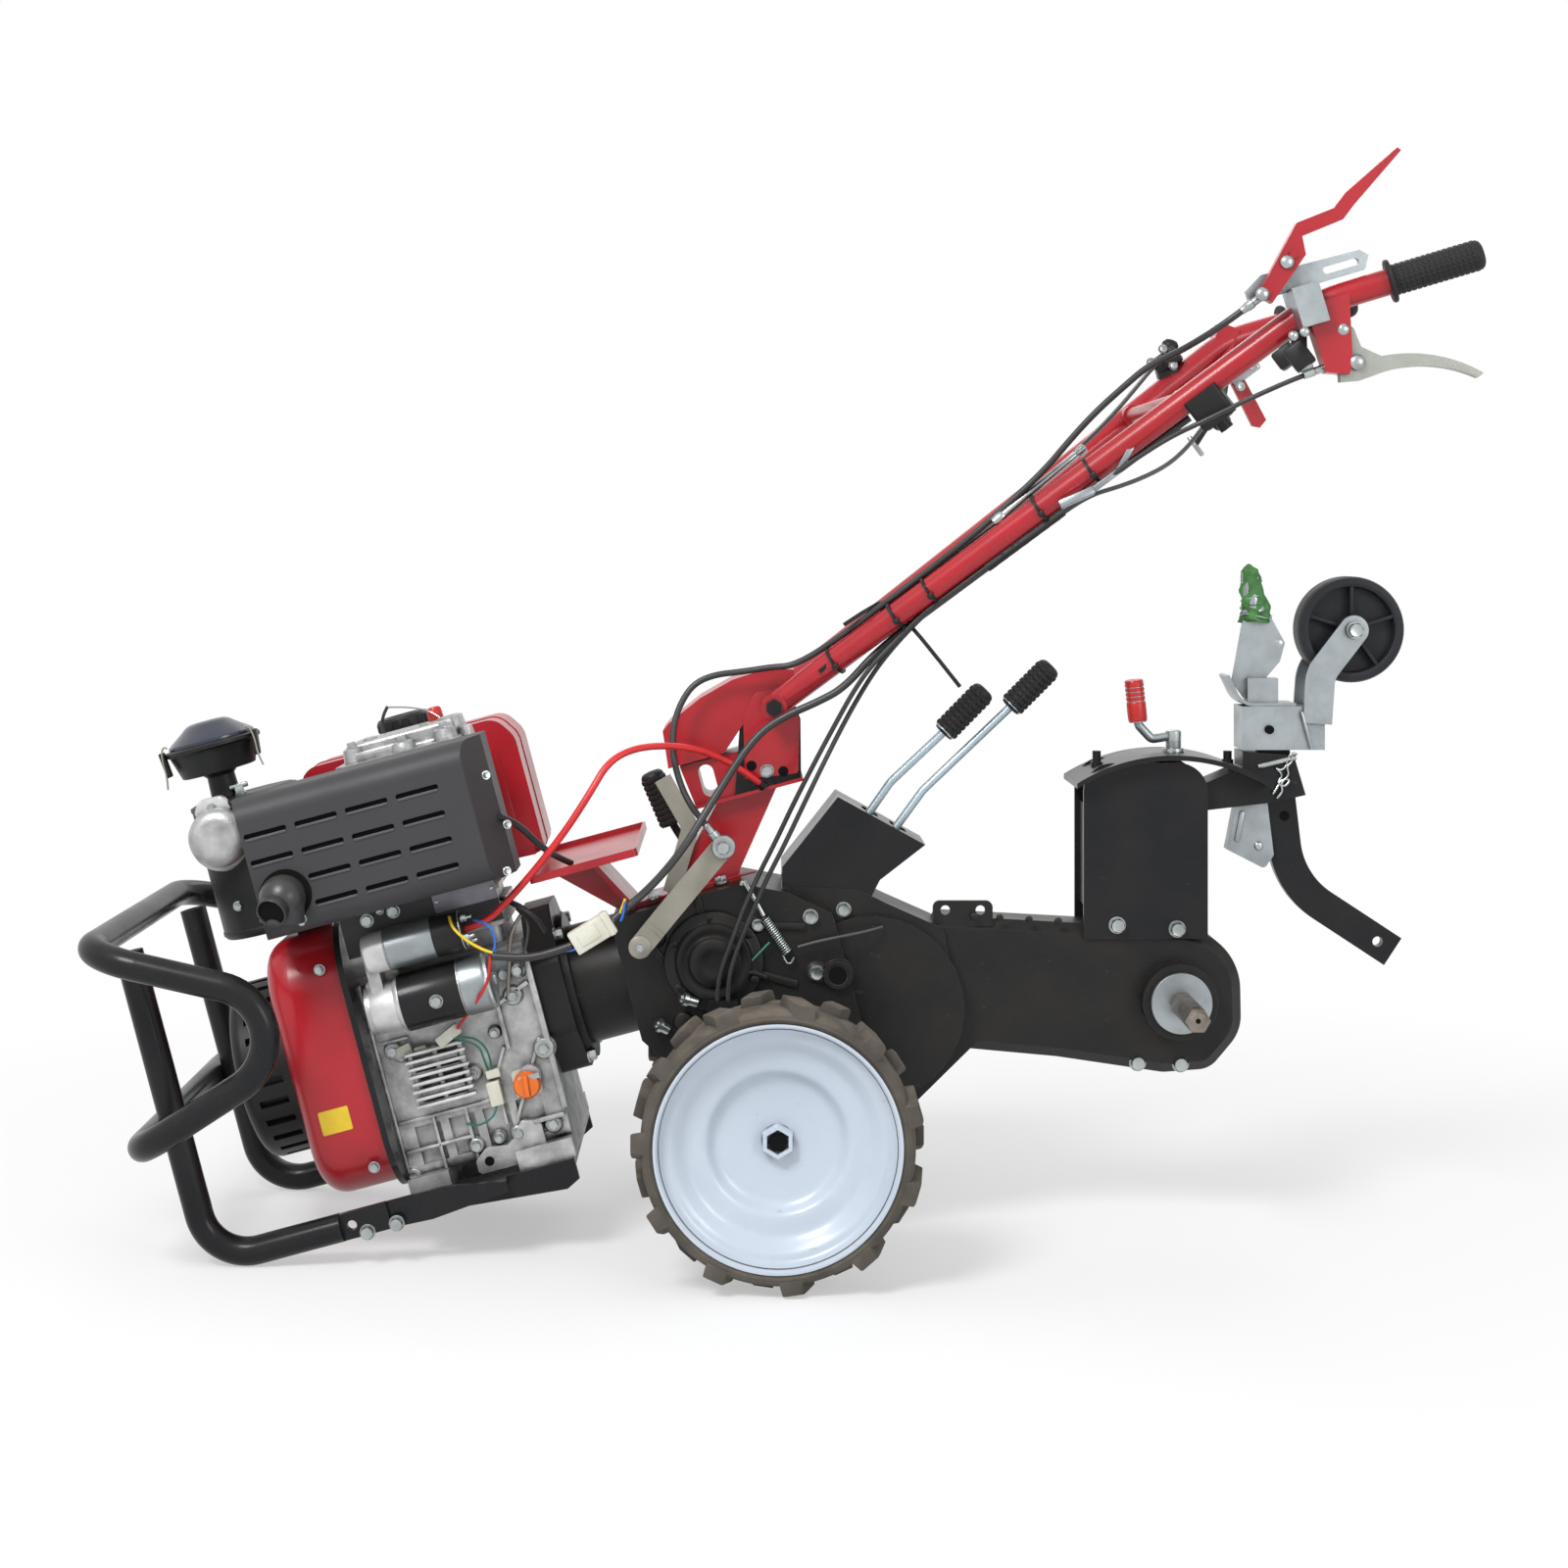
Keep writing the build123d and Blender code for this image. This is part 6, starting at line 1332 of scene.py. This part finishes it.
work.faces.new(reversed(rings[0]))
work.faces.new(rings[-1])
for n in range(7):
    share = n / 6
    reach = 19.5 - 12.5 * share ** 1.3
    places = []
    for k in range(9):
        angle = math.radians(45 * k + 50 * n)
        height = 722 + 46 * share + 3.5 * math.sin(2 * angle + n)
        places.append(point(567.5 - 6 * share + reach * math.cos(angle), -8 + reach * 0.8 * math.sin(angle), height))
    routed(f"latch_sleeve_cord_{n + 1}", places, 0.0013, net_green if n % 3 else blue_steel, "chassis")

# ---------------------------------------------------------------- handlebar grips and controls
GRIP_OVERLAP = 0.08
for side, name in ((-1, "left"), (1, "right")):
    bar_end = point(733, side * 283, 1112.3)
    grip_aim = (bar_end - point(583, side * 258, 1067.9)).normalized()
    grip_foot = bar_end - grip_aim * GRIP_OVERLAP
    collar = [(0, 17), (0.4, 22.6), (1.6, 23.9), (4.4, 23.9), (5.6, 22.8), (6, 18)]
    add_turned(f"grip_{name}_ribbed", collar, grip_foot, grip_aim, 48)
    add_knurled(f"grip_{name}_ribbed", grip_foot + grip_aim * 0.003, grip_aim, 101, 17.0, 16, 20, 0.8)

DOMES = [  # place, radius
    (545.5, -286.4, 1109.7, 7), (519.2, -286.4, 1075.1, 7), (607.8, -276.6, 1038.4, 6.5), (623, -276.6, 1003, 8),
    (551, -292, 1030.3, 5), (563, -292, 1034.4, 5),
]
for *place, radius in DOMES:
    dome = [
        (-0.5, radius + 0.6), (0.6, radius + 0.5), (1.2, radius), (2.6, radius * 0.82), (3.6, radius * 0.5),
        (3.9, radius * 0.2),
    ]
    add_turned("handle_rivets", dome, point(*place), TOWARDS, 24)
HANDLE_FITTINGS = [  # place, axis, sides, profile
    ((567, -266, 990), (21, 0, 7), 20, [(0, 5.2), (12, 5.2), (13, 4.4), (26, 4.4), (27, 3.2), (34, 3.0)]),
    ((560, -267, 996), (21, 0, 7), 20, [(0, 4.6), (16, 4.6), (17, 3.6)]),
    ((256, -150, 841), (101, 0, 83), 20, [
        (0, 4.5), (70, 4.5), (104, 4.5), (106, 3.4), (108, 5.5), (112, 6.6), (117, 5.6), (119, 2),
    ]),
    ((249, -150, 835), (101, 0, 83), 20, [(-6, 5), (0, 6.2), (6, 6.2), (9, 5)]),
]
for place, axis, sides, profile in HANDLE_FITTINGS:
    add_turned("handle_rivets", profile, point(*place), axis, sides)
FAR_SCREWS = [
    (495.5, 218.5, 1054), (480.6, 218.5, 1037), (508.7, 218.5, 1033), (596, 228, 1007), (586, 228, 1040),
    (610, 228, 1032),
]
for place in places_of(point, *FAR_SCREWS):
    add_bolt("handle_rivets", place, TOWARDS, 8, 4, 1)

CONTROLS = {  # middle, size, edge
    "left_bar_switch_block": ((563, -266, 1010), (24, 20, 28), 3),
    "throttle_block": ((503, 232, 1040), (36, 26, 22), 4),
    "far_control_box": ((563, 236, 974), (44, 30, 30), 5),
    "far_control_lobe": ((573, 236, 962), (24, 26, 16), 6),
    "far_red_tab": ((553, 240, 998), (20, 8, 16), 2),
    "far_lever_mount": ((600, 236, 1030), (40, 14, 26), 3),
    "far_zinc_tab": ((534, 200, 930), (6, 10, 30), 2),
    "far_switch_box": ((655, 230, 1045), (30, 26, 26), 4),
}
for name, (middle, size, edge) in CONTROLS.items():
    add_block(name, point(*middle), size, BAR_AIM, BAR_TOP, edge)
BAR_STEMS = {  # start, end, width, thickness
    "far_control_bracket": ((581, 256, 1064), (566, 239, 985), 26, 5),
    "far_lever_bracket": ((601, 261, 1072), (600, 240, 1034), 18, 6),
    "far_switch_stem": ((655, 269, 1088), (655, 234, 1050), 14, 8),
    "far_zinc_tab_arm": ((560, 236, 966), (534, 201, 934), 9, 6),
    "throttle_foot": ((508, 233, 1008), (500, 232, 1036), 26, 18),
    "near_switch_stem": ((565, -252, 1046), (563, -264, 1016), 16, 10),
}
for name, (start, end, width, thick) in BAR_STEMS.items():
    add_bar(name, point(*start), point(*end), width, thick, RIGHT, 1.2, spare=4)
throttle_knob = [(0, 6), (2, 9.5), (6, 11), (11, 10.4), (15, 7), (16, 3)]
add_turned("throttle_knob", throttle_knob, point(506, 240, 1052), Vector((0.3, 0, 1)), 28)
cable_end = [(2, 3.2), (4, 4.4), (16, 4.6), (17, 5.4), (24, 5.4), (25, 4.7), (31, 4.4)]
add_turned("clutch_cable_end", cable_end, lever_pin, barrel, 20)

add_block("bar_strap_clip", point(331, -200, 858.5), (42, 12, 9), Vector((38, 0, 17)), BAR_TOP, 2)
strap = places_of(point, (345, -201, 864), (377, -203, 888), (391, -206, 915))
for start, end in zip(strap, strap[1:]):
    add_bar("bar_strap_clip", start, end, 7, 3, TOWARDS, 1, spare=4)

CABLE_TIES = [(0.235, 4.2, 17.4), (0.118, 3.6, 17.4), (0.30, 3.6, 17.4), (0.505, 4.0, 17.6), (0.60, 3.6, 17.2)]
for share, width, radius in CABLE_TIES:
    foot = (BAR_FOOT + BAR_RUN * share) * 0.001
    band = [(0, radius - 1), (0.2, radius), (width - 0.2, radius), (width, radius - 1)]
    add_turned("cable_ties", band, foot, BAR_AIM, 40)
    head = foot + (BAR_NEAR * 0.9 - BAR_TOP * 0.42).normalized() * (radius + 1) * 0.001 + BAR_AIM * width * 0.0005
    add_block("cable_ties", head, (7, 6, 5), BAR_AIM, BAR_NEAR, 1)
TIE_TAILS = [
    [(153, -112, 714), (165, -118, 700), (186, -118, 674), (209, -116, 645)],
    [(132, -86, 742), (116, -96, 738), (98, -104, 728), (78, -106, 715)],
    [(74, -94, 684), (66, -98, 676), (58, -100, 668), (50, -100, 661)],
]
for tail in TIE_TAILS:
    places = places_of(point, *tail)
    for start, end in zip(places, places[1:]):
        add_bar("cable_ties", start, end, 4.6, 1.5, TOWARDS, 0.4, spare=1.5)
WRAP_TURNS = 14
for n in range(WRAP_TURNS):
    spot = (BAR_FOOT + BAR_RUN * (0.40 + 0.125 * n / (WRAP_TURNS - 1))) * 0.001 - BAR_TOP * 0.0172
    coil = [(-6.5, 5.0), (-5.5, 6.1), (5.5, 6.3 - 0.2 * (n % 2)), (6.5, 5.2)]
    add_turned("cable_ties", coil, spot, BAR_AIM + BAR_NEAR * 0.03 * (n % 3 - 1), 16)


# ---------------------------------------------------------------- kits into pieces
def piece_from(name, material, body):
    """Object of a finished kit, riding on a body, with its sharp edges kept."""
    work = kits[name]
    bmesh.ops.recalc_face_normals(work, faces=work.faces)
    smooth_below = math.radians(SMOOTH_BELOW.get(name, 35))
    for edge in work.edges:
        edge.smooth = edge.calc_face_angle(math.pi) < smooth_below
    for face in work.faces:
        face.smooth = True
    mesh = bpy.data.meshes.new(name)
    work.to_mesh(mesh)
    work.free()
    mesh.materials.append(material)
    made = bpy.data.objects.new(name, mesh)
    scene.collection.objects.link(made)
    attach(made, body)
    if name in REPLACED_NODES:
        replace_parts(made, REPLACED_NODES[name])


for material, slot, body, names in KITS:
    for name in names.split():
        piece_from(name, material, body)


# ---------------------------------------------------------------- floor, backdrop and light
def seen_directly(tree):
    """One for rays that come from the camera, off a shiny face or through a clear one."""
    path = tree.nodes.new("ShaderNodeLightPath").outputs
    indirect = math_node(tree, "MAXIMUM", path["Is Glossy Ray"], path["Is Transmission Ray"])
    return math_node(tree, "MAXIMUM", path["Is Camera Ray"], indirect)


def make_floor():
    """Pale floor that fades into the white backdrop away from the machine."""
    made = bpy.data.materials.new("studio floor")
    made.use_nodes = True
    tree = made.node_tree
    surface = tree.nodes["Principled BSDF"]
    surface.inputs["Roughness"].default_value = 0.9
    speck = mixed(tree, noise(tree, 300.0, 2.0), (0.78, 0.78, 0.78, 1), (0.82, 0.82, 0.82, 1))
    tree.links.new(speck, surface.inputs["Base Color"])
    inputs = {0: object_place(tree), 1: (0.05, 0.0, 0.0)}
    reach = add_node(tree, "ShaderNodeVectorMath", inputs, operation="DISTANCE").outputs["Value"]
    inputs = {"Value": reach, "From Min": 0.6, "From Max": 1.7, "To Min": 0.45}
    far = add_node(tree, "ShaderNodeMapRange", inputs).outputs["Result"]
    seen = seen_directly(tree)
    glow = add_node(tree, "ShaderNodeEmission", {"Color": (1, 1, 1, 1), "Strength": 1.0}).outputs["Emission"]
    share = math_node(tree, "MULTIPLY", far, seen)
    fade = add_node(tree, "ShaderNodeMixShader", {0: share, 1: surface.outputs["BSDF"], 2: glow})
    tree.links.new(fade.outputs["Shader"], tree.nodes["Material Output"].inputs["Surface"])
    mesh = bpy.data.meshes.new("floor")
    mesh.from_pydata([(-9, -6, 0), (9, -6, 0), (9, 9, 0), (-9, 9, 0)], [], [(0, 1, 2, 3)])
    mesh.materials.append(made)
    floor = bpy.data.objects.new("floor", mesh)
    scene.collection.objects.link(floor)


def make_sky():
    """White behind the object and in its reflections, and for light a soft dome that is dimmer near the horizon."""
    world = bpy.data.worlds.new("studio")
    scene.world = world
    world.use_nodes = True
    tree = world.node_tree
    seen = seen_directly(tree)
    sight = tree.nodes.new("ShaderNodeTexCoord").outputs["Generated"]
    height = add_node(tree, "ShaderNodeSeparateXYZ", {"Vector": sight}).outputs["Z"]
    inputs = {"Value": height, "From Min": -0.1, "From Max": 0.8, "To Min": 0.22, "To Max": 0.75}
    dome = add_node(tree, "ShaderNodeMapRange", inputs).outputs["Result"]
    strength = add_node(tree, "ShaderNodeMix", {0: seen, 2: dome, 3: 1.0}, data_type="FLOAT").outputs[0]
    background = tree.nodes["Background"].inputs
    tree.links.new(strength, background["Strength"])
    background["Color"].default_value = (1, 1, 1, 1)


def lamp(name, place, aim, size, watts):
    """Round soft lamp that points at an aim."""
    data = bpy.data.lights.new(name, "AREA")
    data.shape = "DISK"
    data.size = size
    data.energy = watts
    made = bpy.data.objects.new(name, data)
    made.location = place
    made.rotation_euler = (Vector(aim) - Vector(place)).to_track_quat("-Z", "Y").to_euler()
    scene.collection.objects.link(made)


make_floor()
make_sky()
lamp("key", (-1.4, -2.2, 2.8), (0, 0, 0.4), 1.2, 95)
lamp("fill", (2.2, -2.6, 1.4), (0, 0, 0.4), 1.4, 24)
lamp("back", (0.4, 2.4, 2.6), (0, 0, 0.6), 1.6, 14)
